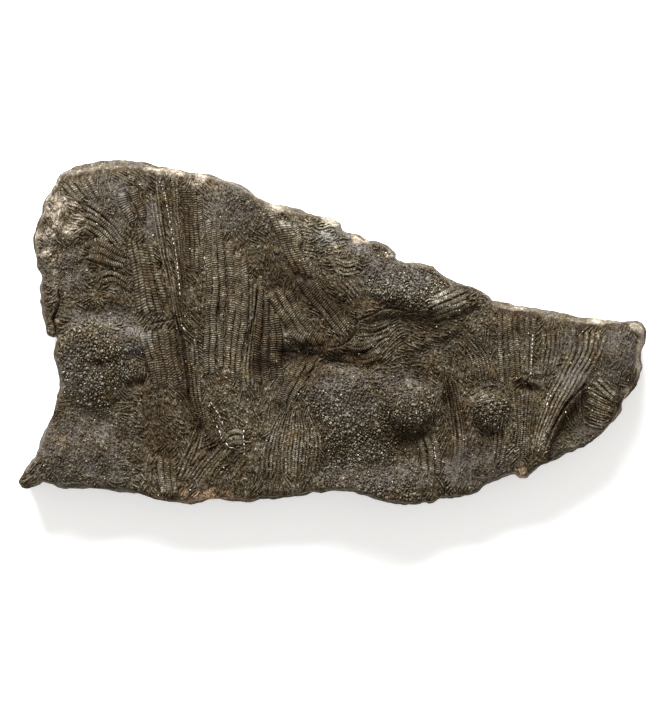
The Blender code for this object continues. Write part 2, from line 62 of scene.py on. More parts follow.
OUTLINE = [
    (8.9, 75.4), (9.8, 76.5), (12.1, 77.5), (16.2, 78.5), (21.3, 79.2), (25.9, 79.4), (30.9, 78.8),
    (38, 77.2), (45.7, 75.6), (51.2, 73.5), (54, 71.8), (57.2, 70.2), (64.7, 68), (72.3, 66.1),
    (74.2, 65.1), (75, 63.2), (78.3, 62.3), (79.9, 61.1), (83.6, 60.5), (87.1, 58.1), (88, 56.8),
    (95.3, 55), (98.8, 52.3), (106.6, 49.9), (110.1, 47.1), (116, 46.1), (124.8, 44.3), (134, 43),
    (142, 42.4), (144, 41.2), (145, 38.6), (144.8, 36.6), (143.9, 35), (143.2, 30.1), (142.3, 27.6),
    (139.6, 23.7), (138.6, 20.8), (133.7, 15.4), (130.1, 12.9), (126.2, 11.6), (122.7, 9.7), (118.3, 7.1),
    (117.1, 6), (115.3, 5.8), (113.5, 6.6), (108.2, 4.3), (104.1, 1.8), (97.4, 1.4), (95.6, 0.2),
    (93.7, 0.6), (91.2, 0), (83.4, 0.9), (76.5, 3.1), (69.6, 2.9), (60.8, 1.4), (56.2, 1.3), (53.5, 0.5),
    (45.4, 1), (38.1, 0), (32.3, 0.8), (25.9, 2.6), (19, 3.2), (11.2, 3.7), (6.1, 4.9), (4.7, 4.3),
    (1.7, 3.9), (0.2, 4.8), (0, 6.2), (3.3, 10.6), (4.5, 13.1), (6.8, 19.1), (8.6, 24.6), (9.5, 28.5),
    (8.2, 34.7), (8.6, 38.2), (7.5, 38.4), (6.1, 39.6), (5.6, 44), (5.1, 50.1), (5.4, 51.3), (5.2, 52.9),
    (4, 54.5), (3.5, 60.5), (4.3, 63.7), (5.9, 67.6), (6.1, 69.5), (7, 71.5),
]

# A rounded swelling, or a hollow where its rise is negative. Its reach differs up and down the
# face, a higher power gives it a flatter top and steeper flanks, and its turn is in degrees.
Mound = namedtuple("Mound", "name x y across up down rise power turn", defaults=(2.2, 0))
MOUNDS = [Mound(*row) for row in [
    ("left nodule", 18, 36, 10.6, 7.4, 15.5, 3, 2.3),
    ("round boss", 26.6, 37.7, 3.9, 4.1, 4, 1.5, 2.4),
    ("lower boss", 25.1, 30.4, 6.6, 4.6, 4.4, 1.6),
    ("corner swell", 14.4, 12, 10, 6.2, 11, 1.3, 2.4),
    ("big nodule", 76, 22.8, 15.6, 8.6, 20, 3.1, 2.4, -2),
    ("big nodule lobe", 90.2, 22.4, 7.6, 7, 6.8, 4.2, 2.8),
    ("bottom nodule", 80.5, 1.6, 14.6, 9.2, 8, 4.2, 2.8, 2),
    ("right nodule", 108.6, 22.4, 5.6, 4.6, 5.8, 2.7, 2.4),
    ("upper shoulder", 89.8, 48.8, 13.8, 10.4, 4.8, 2.8, 2.6, -18),
    ("crest shoulder", 50, 69, 12, 10.1, 14, 1.4, 2),
    ("crest lumps", 75.3, 51.6, 9.2, 9.2, 7, 1.2, 2),
    ("folded hump", 99.5, 45.8, 7.2, 5.2, 3.8, 2, 2.2, 25),
    ("upper left swell", 19, 70.2, 14, 9.2, 14, 1, 2),
    ("right hump", 106.4, 40.2, 9.2, 6, 7, 1, 2),
    ("tip swell", 136.7, 35.6, 7.8, 6.9, 7.8, 1.2, 2),
    ("centre swell", 45.4, 47.1, 18.4, 25.3, 25.3, 1, 2),
    ("pit", 64, 34, 11.5, 5.4, 4.8, -1.2, 2, 10),
    ("pit tail", 75.3, 32.8, 10.6, 2.4, 2.4, -1.2, 2.2, 4),
    ("nodule valley", 99.2, 18.6, 2.7, 12.4, 12.4, -1.8, 2.2, -6),
    ("right hollow", 128.2, 18.4, 7.2, 8.6, 5.8, -1.6, 2.4, -35),
    ("dark notch", 117.9, 27.1, 4.1, 1.6, 1.6, -1.2, 2, -20),
    ("lobe undercut", 89.1, 15.6, 5.6, 1.4, 2.2, -0.6),
    ("left undercut", 19.5, 32.8, 4.2, 1.2, 1.8, -0.9),
    ("boss undercut", 27.4, 27.4, 3, 1.2, 1.6, -0.6),
    ("left hollow", 20.1, 45.1, 7.8, 2.1, 2.8, -0.6),
    ("fan hollow", 21.3, 54.1, 6.9, 1.2, 2.8, -0.4, 2.2, -15),
    ("nodule undercut", 108.2, 16.4, 5, 1.4, 2.4, -0.4),
    ("pit rib", 59.7, 33.2, 1.6, 2.4, 2.2, 0.9, 2.2, 20),
    ("pit step", 71.4, 35, 1.9, 2.2, 2, 0.9),
]]

# A layer's broken edge: the face falls by its drop on the right of the line's way.
Ledge = namedtuple("Ledge", "name drop run width line")
LEDGES = [Ledge(*row) for row in [
    ("shoulder ledge", 1.4, 8, 1.4, [(78.3, 41.6), (82.2, 44), (88, 44.6), (92, 43.9), (96.3, 46)]),
    ("layer edge", 0.6, 5, 1.2, [(87.5, 35), (92.6, 37), (97.2, 38.9), (103.2, 42.1)]),
    ("arms end", 0.6, 5, 1.2, [(63.8, 38.2), (66.5, 36.2), (70, 35.3), (74, 36.2)]),
    ("comb edge", 0.9, 4, 0.8, [(74.2, 33.4), (78.8, 32.2), (84.8, 34.2)]),
    ("fan flank", 2, 7, 1, [(120.6, 9.9), (122, 15), (125.9, 21.9), (130.8, 28.6)]),
]]

# Stretches of the rim that break away in a sloping band: middle, reach along the rim and width.
Bevel = namedtuple("Bevel", "x y reach width")
BEVELS = [Bevel(*row) for row in [(21, 79, 17, 1.3), (60, 69.5, 9, 0.5), (121, 45, 15, 0.9),
                                   (144.5, 37, 7, 1)]]

# Broad painted shade in the valleys and painted highlight on the crests, partly real stain and dust: the
# reach, the change in tone and the line.
Shade = namedtuple("Shade", "name reach tone line")
SHADES = [Shade(*row) for row in [
    ("ladder painted shade", 2.6, -0.36, [(39.3, 72), (39.3, 60), (37.2, 46.2), (37.2, 36.3), (39.5, 24),
     (43.5, 16.5), (51, 10.5)]),
    ("foot painted shade", 5, -0.2, [(30.5, 28.8), (34, 13)]),
    ("ribbed painted shade", 3, -0.08, [(28.5, 60), (31.5, 46)]),
    ("lower left painted shade", 4.5, -0.04, [(20, 24), (31, 22)]),
    ("centre painted highlight", 4.5, 0.06, [(43.8, 71.5), (45.2, 59.3), (48.6, 42.9), (50.5, 29.7), (50, 18)]),
    ("pit painted shade", 3.6, -0.3, [(56.5, 32), (60.5, 34), (65, 35.2), (70, 36), (75, 35.2), (79, 34.6)]),
    ("pit blot", 2.8, -0.4, [(61.8, 34.8), (67.5, 36.2)]),
    ("pit tail blot", 2.2, -0.3, [(74, 35.2), (76, 35)]),
    ("pit floor painted shade", 2.2, -0.36, [(67, 30), (72, 29.8)]),
    ("slant foot painted shade", 2.6, -0.22, [(64, 41), (68, 40.6)]),
    ("reed painted shade", 2.2, -0.2, [(52.5, 50), (54, 42), (54.5, 30)]),
    ("slant painted shade", 5.5, -0.42, [(59, 55), (66, 49.5), (74, 46)]),
    ("shoulder painted shade", 2, -0.22, [(80.5, 43.2), (87.5, 44.4)]),
    ("layer painted shade", 2.4, -0.22, [(91, 40.8), (99, 40.6)]),
    ("lobe painted shade", 1.8, -0.2, [(85, 16.6), (93, 16.4)]),
    ("valley painted shade", 1.9, -0.35, [(97.9, 29.7), (100.3, 24), (102.7, 18.2)]),
    ("right nodule painted shade", 2, -0.12, [(106, 17.6), (110, 17.9)]),
    ("lobe brow painted shade", 1.8, -0.22, [(88.5, 30.2), (94, 29.8)]),
    ("right nodule brow", 1.8, -0.24, [(104.5, 29.6), (111.5, 29.6)]),
    ("reeds painted shade", 2.4, -0.2, [(108.5, 40.6), (115, 40.4)]),
    ("notch painted shade", 1.9, -0.35, [(114.5, 27.9), (117.9, 26.9)]),
    ("hollow painted shade", 2.6, -0.3, [(122.5, 14), (125.5, 19.5), (129.5, 25.5)]),
    ("fan painted highlight", 2.6, 0.12, [(118.8, 12), (123.5, 23.5), (129.5, 32), (132, 38.5)]),
    ("fan edge painted shade", 1.6, -0.24, [(122.5, 20.5), (127, 25.5), (131, 30)]),
    ("shoulder painted highlight", 4, 0.42, [(82.5, 49.8), (89, 50.4), (96.5, 48.8)]),
    ("rim painted highlight", 2.6, 0.5, [(71, 62.4), (72, 59.4)]),
    ("crest painted highlight", 3.8, 0.28, [(56, 67), (66, 64), (73, 62), (80, 58.5)]),
    ("lower fan painted highlight", 6, 0.14, [(61, 16), (65, 11)]),
    ("big nodule flank painted highlight", 4.5, 0.24, [(65, 23.5), (74, 20.5), (82, 20.5)]),
    ("big nodule painted highlight", 3, 0.04, [(67, 28), (75, 29.8), (86, 28.5), (93.5, 25.5)]),
    ("bottom nodule painted highlight", 2.6, 0.32, [(68, 6.4), (73.5, 9.6), (82, 11.2), (88.5, 9.8), (94, 6.6)]),
    ("bottom nodule painted shade", 1.4, -0.1, [(65, 9.6), (72.5, 13.6), (81.5, 15.4), (90.5, 13.6), (96.5, 9.6)]),
    ("bottom nodule foot", 3, 0.14, [(74, 2.6), (88, 2.2)]),
    ("left nodule foot", 5, 0.26, [(11.5, 28.5), (26, 29)]),
    ("big nodule foot", 3.5, 0.24, [(65, 16.5), (79, 14)]),
    ("right nodule painted highlight", 2.6, 0.25, [(105.5, 24.8), (111, 23.8)]),
    ("left nodule top", 5.5, 0.12, [(13, 36), (22, 36)]),
    ("left nodule painted highlight", 1.9, 0.3, [(10.6, 38.8), (14.5, 41.2), (22, 41.8), (28, 39.9), (30.6, 36.4)]),
    ("corner painted highlight", 2.2, 0.02, [(6.2, 12), (10.3, 15.6), (17, 17), (21.5, 14.4)]),
    ("hem painted highlight", 3.5, 0.1, [(4, 7.5), (20, 6.5), (34, 4.5)]),
    ("ridge painted shade", 2.6, -0.12, [(34.5, 68), (36, 58), (38.5, 47)]),
    ("root painted shade", 2.8, -0.2, [(39, 19), (45.5, 11.5)]),
    ("lower middle painted shade", 5.5, -0.12, [(29, 18), (45, 8)]),
    ("right mud painted shade", 3.2, -0.42, [(100.5, 11.5), (108, 14.5)]),
    ("top left painted highlight", 8, 0.1, [(14, 66), (24, 72)]),
    ("hook painted highlight", 1.8, 0.34, [(19, 55.6), (24, 55.2)]),
    ("left edge painted highlight", 1.8, 0.24, [(8.8, 49), (8.6, 59.5)]),
]]

# A crack, a seam between arms or the line of shade under a broken edge: a narrow V cut into the face, which
# the stone's tone also darkens as painted shade.
Groove = namedtuple("Groove", "name half_width depth line")
GROOVES = [Groove(*row) for row in [
    ("edge crack", 0.35, 2.4, [(8.8, 37.9), (8.9, 40.2), (8.4, 42.8), (9.4, 45.1), (9.8, 47.6),
     (9.5, 49.9)]),
    ("ridge seam", 0.29, 0.8, [(33.6, 66.1), (34.2, 60.7), (34.2, 57.5), (34.9, 52.5), (36, 43.1)]),
    ("ridge flank", 0.25, 0.72, [(32.9, 55.5), (34.1, 50.6), (35.5, 44.3)]),
    ("ridge valley", 0.41, 0.8, [(36.4, 43.4), (38.2, 37.5), (39.3, 28.8), (39.5, 24.6), (40.3, 21.4),
     (40.1, 19)]),
    ("root seam", 0.32, 0.72, [(42.4, 18.7), (41.9, 16.4), (40.6, 13.9), (39.2, 11.5)]),
    ("hem seam", 0.27, 0.56, [(39.7, 9), (42.8, 10.7), (45.4, 13.6)]),
    ("hook seam", 0.26, 0.6, [(17.6, 54), (19.2, 52.9), (21.7, 53.9), (24.4, 53.1), (26.4, 52)]),
    ("cross crack", 0.24, 0.64, [(30.5, 41.5), (35, 42.6), (38, 43.3)]),
    ("stub seam", 0.32, 0.48, [(23.6, 72.7), (26.1, 73.4), (28.2, 72.5), (29.6, 68.3), (29.3, 64.6),
     (27.5, 62.6)]),
    ("column seam", 0.25, 0.64, [(46.6, 47.6), (46.5, 43.6), (47.1, 39.6), (46.8, 34)]),
    ("reed seam", 0.32, 0.8, [(55.2, 49.5), (54.6, 43.5), (53.2, 38.2), (52.7, 34)]),
    ("ladder seam", 0.32, 0.8, [(55.3, 36.5), (55.4, 33.4), (56.3, 29.5)]),
    ("crossing seam", 0.28, 0.56, [(63.8, 26.2), (66.7, 30), (69, 32.1)]),
    ("arms edge", 0.45, 0.55, [(60, 35.2), (64.8, 35.4), (66.2, 37), (67.6, 34.6), (70.4, 34.7)]),
    ("shoulder seam", 0.36, 0.68, [(71.4, 36.3), (74.6, 36.8), (77.7, 39.6), (78.2, 42.2), (81.7, 43.8),
     (84, 45), (87.7, 45), (92, 43.9)]),
    ("upper comb seam", 0.24, 0.5, [(78.9, 39.4), (81.7, 39.4), (84, 40.3), (85.9, 41.7)]),
    ("middle comb seam", 0.28, 0.62, [(75.4, 35.4), (80, 35.4), (82.4, 37), (85, 38.9)]),
    ("lower comb seam", 0.36, 0.68, [(71.4, 33.3), (76.1, 32.8), (80, 32.5), (84, 33.7)]),
    ("valley seam", 0.32, 0.72, [(98.7, 28.4), (99.6, 23.5), (100.9, 17.1), (101.5, 11.5)]),
    ("notch", 0.45, 0.96, [(116, 28.6), (117.3, 27.8), (118.4, 26)]),
    ("flank seam", 0.45, 1, [(130.3, 27.6), (126.2, 23.5), (122.6, 17.1), (120.5, 12.2)]),
]]

# Arms lying side by side between a left and a right guide line. A later bundle lies over an
# earlier one. The pitch is the length of one ossicle, rib is how deep the joints between
# ossicles cut and how much painted shade darkens them, and tone is how pale the arms are.
Bundle = namedtuple("Bundle", "name group arms pitch rib rise tone left right")
BUNDLES = [Bundle(*row) for row in [
    ("top left fan", "left", 5, 0.51, 0.45, 0.9, -0.05,
     [(9.1, 74.3), (12.1, 71.5), (15.3, 69)],
     [(16.2, 76.6), (18.1, 73.4), (19.9, 69.7)]),
    ("left fan", "left", 6, 0.48, 0.8, 1, 0,
     [(14.4, 62.3), (17.1, 61.4), (20.4, 58.9), (24, 55.7)],
     [(15.8, 70.6), (19, 68.3), (22.2, 65.5), (25.4, 61)]),
    ("left fan hem", "left", 3, 0.46, 0.9, 1.1, 0,
     [(16.6, 56.4), (19.4, 55), (22, 54.2), (25.6, 54)],
     [(14.4, 60.4), (18.5, 62), (21.7, 59.9), (25.4, 57.2)]),
    ("hooked arms", "left", 2, 0.48, 1, 1, 0,
     [(17.8, 49.4), (21.5, 51.2), (24.3, 50.2), (26.4, 48)],
     [(17.8, 52.6), (21.7, 53.7), (24.6, 52.5), (27.2, 50.6)]),
    ("stem stub", "left", 2, 0.54, 0.9, 0.8, 0,
     [(23.6, 72), (24.5, 67.9), (26.3, 63.5)],
     [(27.5, 73.1), (29.1, 69.2), (29.3, 65.1)]),
    ("ribbed band", "left", 5, 0.64, 0.9, 1, -0.04,
     [(25.2, 61.4), (25.9, 55.9), (26.8, 49.5), (27.7, 42.6)],
     [(30.5, 62.3), (32.3, 55.9), (34.2, 49.5), (36, 43.2)]),
    ("ribbed band foot", "left", 6, 0.57, 0.8, 0.8, -0.08,
     [(27.7, 40.9), (28.4, 36.8), (29.8, 32), (31.9, 26)],
     [(36.5, 42.1), (36.9, 36.8), (37.8, 32), (39.2, 26)]),
    ("upper ladder", "left", 4, 0.51, 0.9, 0.9, -0.08,
     [(37.6, 75.2), (38.1, 66.7), (38.5, 59.8), (39.2, 52.2)],
     [(42.2, 72.5), (42.7, 65.5), (42.9, 59.8), (42.9, 52.2)]),
    ("beaded arms", "left", 4, 0.46, 0.7, 0.9, 0,
     [(32.5, 75.7), (34.2, 67.4), (35.5, 58.7), (36.9, 50.6), (38.3, 39.8)],
     [(37.1, 76.6), (37.6, 67.4), (38.3, 58.7), (39.4, 50.6), (40.6, 39.8)]),
    ("main ridge", "left", 3, 0.49, 0.25, 1.5, 0.25,
     [(30.2, 74.8), (31.2, 66.7), (32.5, 59.8), (34.4, 51.8), (36, 43.7), (37.1, 38)],
     [(32.1, 75.2), (33.2, 67.9), (34.4, 60.5), (36.2, 52.2), (37.8, 43.7), (38.8, 38)]),
    ("ridge foot", "left", 4, 0.46, 0.8, 1, -0.12,
     [(37.1, 38.4), (37.8, 31.5), (39, 24.2), (41.5, 18.6)],
     [(41.3, 38.9), (42.2, 31.1), (42.7, 24.2), (43.6, 18.6)]),
    ("centre ladder", "centre", 3, 0.49, 0.9, 1, -0.02,
     [(43.1, 66.7), (43.4, 58.7), (43.4, 49.5), (42.9, 40.2), (43.1, 27.8)],
     [(47, 63.2), (48, 55.9), (48.2, 47.1), (47.5, 38), (47.5, 27.8)]),
    ("centre column", "centre", 3, 0.51, 0.8, 1, -0.02,
     [(48, 63.2), (48.6, 55.9), (48.6, 47.1), (48, 38), (48, 27.8)],
     [(52.3, 55.9), (52.8, 49.5), (52.8, 41.4), (51.4, 34.5), (50.9, 27.4)]),
    ("reed arms", "centre", 3, 0.57, 0.35, 1, 0.08,
     [(52.8, 53.6), (53.2, 47.1), (53.2, 40.2), (51.9, 33.8), (51.4, 24.6)],
     [(56.9, 53.6), (56, 47.1), (54.9, 40.2), (54.4, 33.8), (54.9, 24.6)]),
    ("dark ladder", "centre", 4, 0.51, 1.2, 1.1, -0.2,
     [(56, 50.6), (55.3, 44.9), (54.4, 36.8), (55.1, 26.9)],
     [(60.1, 50.6), (60.6, 44.4), (61.1, 36.8), (61.3, 27.8)]),
    ("upper slant", "centre", 4, 0.49, 0.7, 1, 0.02,
     [(57.6, 68.8), (59.5, 62.1), (62.2, 55.9), (65, 51.3)],
     [(64.3, 65.1), (65.9, 59.8), (67.7, 55.2), (69.6, 50.4)]),
    ("slanting fan", "centre", 3, 0.51, 0.9, 1, -0.05,
     [(56.7, 49.9), (59.5, 44.4), (62.7, 39.3), (66.8, 36.3)],
     [(62.7, 51.1), (65.4, 45.3), (69.1, 39.8), (72.8, 36.3)]),
    ("slanting fan top", "centre", 3, 0.51, 0.8, 1, -0.05,
     [(63.1, 53.6), (66.1, 48.5), (70, 43), (74.6, 37.5)],
     [(68.7, 51.8), (71.9, 47.1), (74.9, 43.5), (78.1, 39.8)]),
    ("short ribs", "centre", 8, 0.49, 0.3, 0.6, 0,
     [(65.4, 57), (67.3, 56.6), (69.1, 56.4)],
     [(64.7, 63.9), (66.4, 63.5), (68.2, 63)]),
    ("arched ribs", "centre", 4, 0.49, 0.4, 0.6, 0.05,
     [(72.3, 53.8), (75.6, 52.4), (79.5, 53.6)],
     [(72.8, 57.3), (75.6, 56.1), (79, 57.3)]),
    ("wavy ribs", "centre", 4, 0.49, 0.4, 0.6, -0.05,
     [(73, 51.8), (75.3, 49), (78.1, 46.2)],
     [(76.9, 53.1), (78.8, 50.4), (80.4, 47.6)]),
    ("folded arms", "right", 5, 0.45, 0.6, 0.9, 0,
     [(95.1, 41.9), (98.6, 42.8), (102, 44.2), (104.1, 46)],
     [(93.3, 46.9), (96.9, 48.8), (100.6, 50.6), (104.1, 51.5)]),
    ("upper comb", "right", 3, 0.41, 1, 1, 0.08,
     [(78.1, 38.6), (82, 38.9), (86.6, 40.5)],
     [(78.3, 42.1), (81.8, 41.6), (86.1, 43.5)]),
    ("middle comb", "right", 2, 0.41, 1.1, 1.1, 0.1,
     [(74.6, 35.2), (78.3, 35.2), (82, 36.6), (86.6, 38.6)],
     [(76.9, 38), (79.7, 37.7), (82.9, 38.6), (86.6, 40.2)]),
    ("lower comb", "right", 2, 0.41, 1.1, 1, -0.05,
     [(76.5, 32.4), (80.2, 32.4), (84.3, 34)],
     [(77.9, 34.7), (81.1, 35.2), (84.3, 36.8)]),
    ("crossing arms", "centre", 3, 0.46, 0.9, 0.8, -0.25,
     [(65.2, 35.4), (62.2, 30.1), (59.7, 25.1), (58.1, 20.9)],
     [(69.8, 35.2), (66.8, 29.9), (64.3, 25.5), (62.2, 20.9)]),
    ("lower fan", "centre", 16, 0.41, 0.6, 0.52, 0,
     [(61.8, 23.7), (58.3, 17.9), (56.5, 12.2), (56.2, 4.8)],
     [(66.6, 23), (69.1, 17.7), (70, 12.7), (69.1, 6.2)]),
    ("radiating arms", "centre", 5, 0.45, 0.3, 0.6, 0,
     [(41.1, 18.2), (39.2, 13.8), (36.9, 9), (34.6, 3.5)],
     [(43.4, 18.6), (43.4, 14.5), (42, 9.4), (40.6, 3.9)]),
    ("radiating hem", "centre", 7, 0.45, 0.25, 0.55, 0,
     [(42, 13.1), (39.7, 9.4), (36.9, 5.3)],
     [(51.2, 13.6), (47, 9.9), (42.9, 4.4)]),
    ("cup", "centre", 3, 0.45, 0.35, 0.6, 0,
     [(47.5, 15), (48, 16.8), (50.3, 17.7), (52.6, 17.2)],
     [(48.4, 13.1), (49.8, 13.6), (51.2, 13.6), (52.6, 14)]),
    ("low columns", "left", 3, 0.45, 0.35, 0.5, 0,
     [(32.3, 11.5), (32.3, 6.2), (32.8, 1.4)],
     [(36.9, 11.5), (36.9, 6.2), (37.1, 1.4)]),
    ("valley arms", "right", 5, 0.45, 0.5, 1.1, 0,
     [(97.4, 30.6), (98.8, 23), (99.7, 15), (98.8, 8.1)],
     [(100.4, 31.1), (102.2, 23.7), (103.4, 15.9), (103.6, 9.2)]),
    ("nodule columns", "right", 3, 0.45, 0.5, 1, 0,
     [(91.9, 15.9), (92.6, 11.3), (93.3, 5.8)],
     [(96.3, 17.2), (97.2, 12.2), (97.9, 6.2)]),
    ("feathered arms", "right", 6, 0.43, 0.7, 0.7, 0.05,
     [(99.9, 38.4), (102.9, 35.2), (104.8, 31.1), (105.5, 27.4)],
     [(104.3, 40.2), (107.1, 36.8), (108.9, 33.1), (109.6, 28.3)]),
    ("right reeds", "right", 7, 0.43, 0.8, 0.55, -0.02,
     [(110.1, 45.8), (110.5, 38), (111, 27.6)],
     [(119, 44.4), (118.8, 36.8), (118.6, 28.8)]),
    ("fan edge", "right", 5, 0.41, 0.6, 0.6, 0,
     [(120.2, 41.2), (120.4, 34.5), (119.7, 28.3)],
     [(125.5, 42.1), (125.5, 36.1), (123.2, 30.1)]),
    ("right columns", "right", 6, 0.43, 0.8, 0.7, 0,
     [(113.3, 26.9), (114.4, 19.1), (113, 9)],
     [(119.7, 27.8), (118.3, 20.7), (117.6, 9.9)]),
    ("right fan", "right", 7, 0.43, 0.22, 0.52, 0,
     [(125.5, 42.1), (126.4, 36.8), (123.9, 29.9), (120.6, 23), (118.6, 16.1), (117.6, 10.8)],
     [(136.3, 41.6), (134.4, 35.6), (130.8, 29.2), (126.2, 22.3), (122.2, 15), (120.6, 10.8)]),
    ("right ladder", "right", 3, 0.45, 0.9, 0.9, -0.05,
     [(108.9, 18.6), (109.4, 13.8), (108.4, 9)],
     [(112.6, 18.2), (112.6, 13.8), (111.2, 8.5)]),
    ("tip hair", "right", 13, 0.41, 0.35, 0.7, 0,
     [(130.3, 18.6), (134, 17.7), (137, 18.6)],
     [(130.3, 27.8), (134.4, 25.5), (139, 23)]),
    ("tip thread", "right", 2, 0.41, 0.5, 1, 0.08,
     [(131.4, 29), (134.7, 25.5), (138.1, 21.9)],
     [(133.1, 30.4), (136.3, 27.1), (139.7, 24.2)]),
    ("hollow hair", "right", 7, 0.41, 0.35, 0.8, -0.05,
     [(124.8, 21.4), (125.9, 18.6), (128.5, 16.3)],
     [(129.4, 27.4), (129.4, 22.8), (130.1, 18.2)]),
]]

# Ground of one kind: centre, reach across and up, strength, and how orange it is.
Patch = namedtuple("Patch", "x y across up strength orange", defaults=(0,))
# Pale broken or weathered ground.
PALE_PATCHES = [Patch(*row) for row in [
    (9.2, 67.5, 4.6, 5.2, 0.85, 0.15), (13.2, 64, 4.2, 3.4, 0.75, 0.15), (12.4, 69.8, 2.4, 2.4, 0.8, 0.15),
    (6.5, 61, 3, 5.5, 0.75, 0.15), (40.8, 75, 3.4, 2.6, 1, 0.15), (36, 76.4, 5, 1.4, 0.9, 0.15),
    (31.6, 77.9, 4, 0.9, 1), (61, 68.2, 5, 1.2, 0.9), (71.8, 64.9, 2.6, 1.8, 0.9, 0.05),
    (79, 61, 2.2, 1.6, 0.9, 0.35), (86.2, 57.7, 2.6, 1.5, 1), (116, 45.9, 4.6, 0.7, 0.9),
    (125, 43.8, 5.5, 0.9, 0.75), (134, 42.3, 8, 1, 0.8, 0.05), (142.6, 41, 2.4, 1.6, 1, 0.15),
    (143.6, 32.2, 2, 7.2, 1, 0.3), (141, 26, 1.8, 3.4, 0.9, 0.35), (44.4, 1.9, 9.4, 3, 1, 0.9),
    (115.8, 7.4, 2, 2, 0.9, 0.8), (8.3, 46.8, 1.6, 0.8, 0.7),
]]
# Smooth blue-grey mud between the arms.
MUD_PATCHES = [Patch(*row) for row in [
    (44.9, 67.9, 2.2, 5.4, 1), (21, 71, 6, 6, 0.9), (52, 69, 9, 8, 0.55), (31, 73.5, 3.2, 3, 0.6),
    (22.5, 65.5, 2.6, 5, 0.8), (31, 66, 1.8, 6, 0.8), (9.5, 54, 6.5, 7, 0.8), (19, 43.5, 9, 2.2, 0.8),
    (26.6, 38, 4.4, 4.4, 1), (12, 30, 6, 7, 0.6), (16, 13, 14, 10, 0.7), (76, 26, 10, 6, 0.7),
    (84, 28.5, 12, 2.5, 0.7), (91, 24, 5, 5, 0.5), (82, 6.5, 14, 4.5, 0.8), (105, 9, 9, 5.5, 0.9),
    (78.5, 60, 4.5, 3, 0.8), (71.5, 61, 3, 3, 1), (87, 53, 9, 4.5, 1), (103.5, 50, 4, 2.5, 0.6),
    (127, 32, 5, 9, 0.6), (138.5, 35.5, 5, 6.5, 1), (137, 31.5, 4, 3.5, 0.9), (132, 16, 5, 3, 0.9),
    (125, 13, 4, 3, 0.7), (58, 27, 7, 3, 0.3),
]]
# Granular ground, where no fibres show.
GRAINY_PATCHES = [Patch(*row) for row in [
    (15, 15, 17, 14, 0.75), (16, 27, 10, 5, 0.8), (11, 55, 6.5, 7, 0.8), (20, 45, 9, 4, 0.7),
    (50, 25, 7, 6, 0.8), (55, 68, 10, 7, 0.9), (80, 58, 8, 5, 0.8), (76, 27, 15, 6, 0.9),
    (82, 8, 17, 8, 0.8), (106, 9, 8, 6, 1), (130, 14, 8, 5, 0.9),
]]

# The way that streaks run on the ground between the bundles.
STREAKS = [
    [(7, 52), (14, 51), (22, 47)],
    [(9, 41), (17, 43.6), (26, 42.2)],
    [(10, 33), (17, 36), (24, 34)],
    [(9, 26), (17, 24.5), (27, 24)],
    [(6, 18), (16, 19.5), (28, 17)],
    [(4, 8), (15, 9.5), (28, 8)],
    [(31, 23), (35, 19), (39, 17)],
    [(46, 24), (49, 19.5), (50, 17.5)],
    [(53, 22), (53.5, 14), (53.5, 4)],
    [(62, 29), (72, 33), (86, 31), (95, 28.5)],
    [(68, 26), (76, 27.5), (88, 25.5)],
    [(70, 18), (80, 16.5), (92, 17)],
    [(72, 6), (82, 9.5), (94, 7.5)],
    [(54, 64), (57, 58), (60, 54)],
    [(50, 74), (56, 69), (62, 67)],
    [(80, 56), (88, 55), (97, 51)],
    [(80, 48), (88, 48), (94, 48.5)],
    [(86, 35), (93, 37), (101, 40.5)],
    [(90, 33), (96, 32), (100, 27)],
    [(104, 40), (107, 43), (110, 40)],
    [(103, 25), (108, 26.5), (113, 24)],
    [(104, 12), (107, 9), (108, 5.5)],
    [(120, 10), (126, 13), (133, 16)],
    [(138, 40), (139, 34), (137, 30)],
]

# Threads of white calcite along and across the arms.
THREADS = [
    [(32.8, 74.3), (33.9, 71.5), (34.6, 68), (35.3, 64.4), (35.8, 61.4), (36.6, 57.5), (37.4, 50.6),
     (37.6, 47.8)],
    [(43.1, 57), (43.6, 55), (44, 52.7), (45, 50.6), (45.4, 49.9)],
    [(44.5, 23.7), (45.4, 22.3), (46.3, 20.9), (47.1, 19.5), (47.3, 18.2)],
    [(45.9, 18.2), (46.6, 16.8), (47.1, 15)],
    [(48, 14.3), (48.9, 13.3), (50.5, 13.3)],
    [(52.1, 17.3), (52.1, 15), (52.3, 13.1), (52.1, 10.4)],
    [(63.8, 60.3), (64.3, 58.6), (65, 57.5)],
    [(118.4, 39.1), (118.1, 33.4), (117.9, 29.9)],
    [(123.2, 26.5), (122, 24.2), (121.4, 22.5)],
    [(121.5, 17.3), (120.4, 14.8), (119.4, 12.2)],
    [(46.2, 33.4), (46.8, 32.2)],
    [(37.8, 41.4), (38.4, 40.6), (38.9, 39.7)],
    [(95.8, 13.5), (96.2, 11), (98.2, 9.8)],
]

# The camera looks straight down on the face; the picture is as wide as the photograph.
PHOTO_WIDTH = 665
MILLIMETRES_PER_PIXEL = 0.23
CAMERA_DISTANCE = 0.75
CAMERA_SPOT = (72.45, 35.42, 9.5)

# How finely each surface is modelled: steps in millimetres, and counts.
GRID_STEP = 0.3
DEPTH_STEP = 0.5
FLOW_STEP = 1.0
HEADING_STEP = 0.5
CRACK_STEP = 0.15
CELL = 0.14
OPEN_GROUND_STEP = 0.28
COVERED_GROUND_STEP = 0.66
GROOVE_POINT_STEP = 0.25
SIDE_STEP = 0.66
SIDE_ROW = 0.36
UNDERSIDE_STEP = 1.7
MAT_STEP = 0.4
GRIT_STEP = 0.26
LINE_STEP = 0.34
THREAD_STEP = 0.22
SPLINE_STEPS = 12
NORMAL_SMOOTHINGS = 10

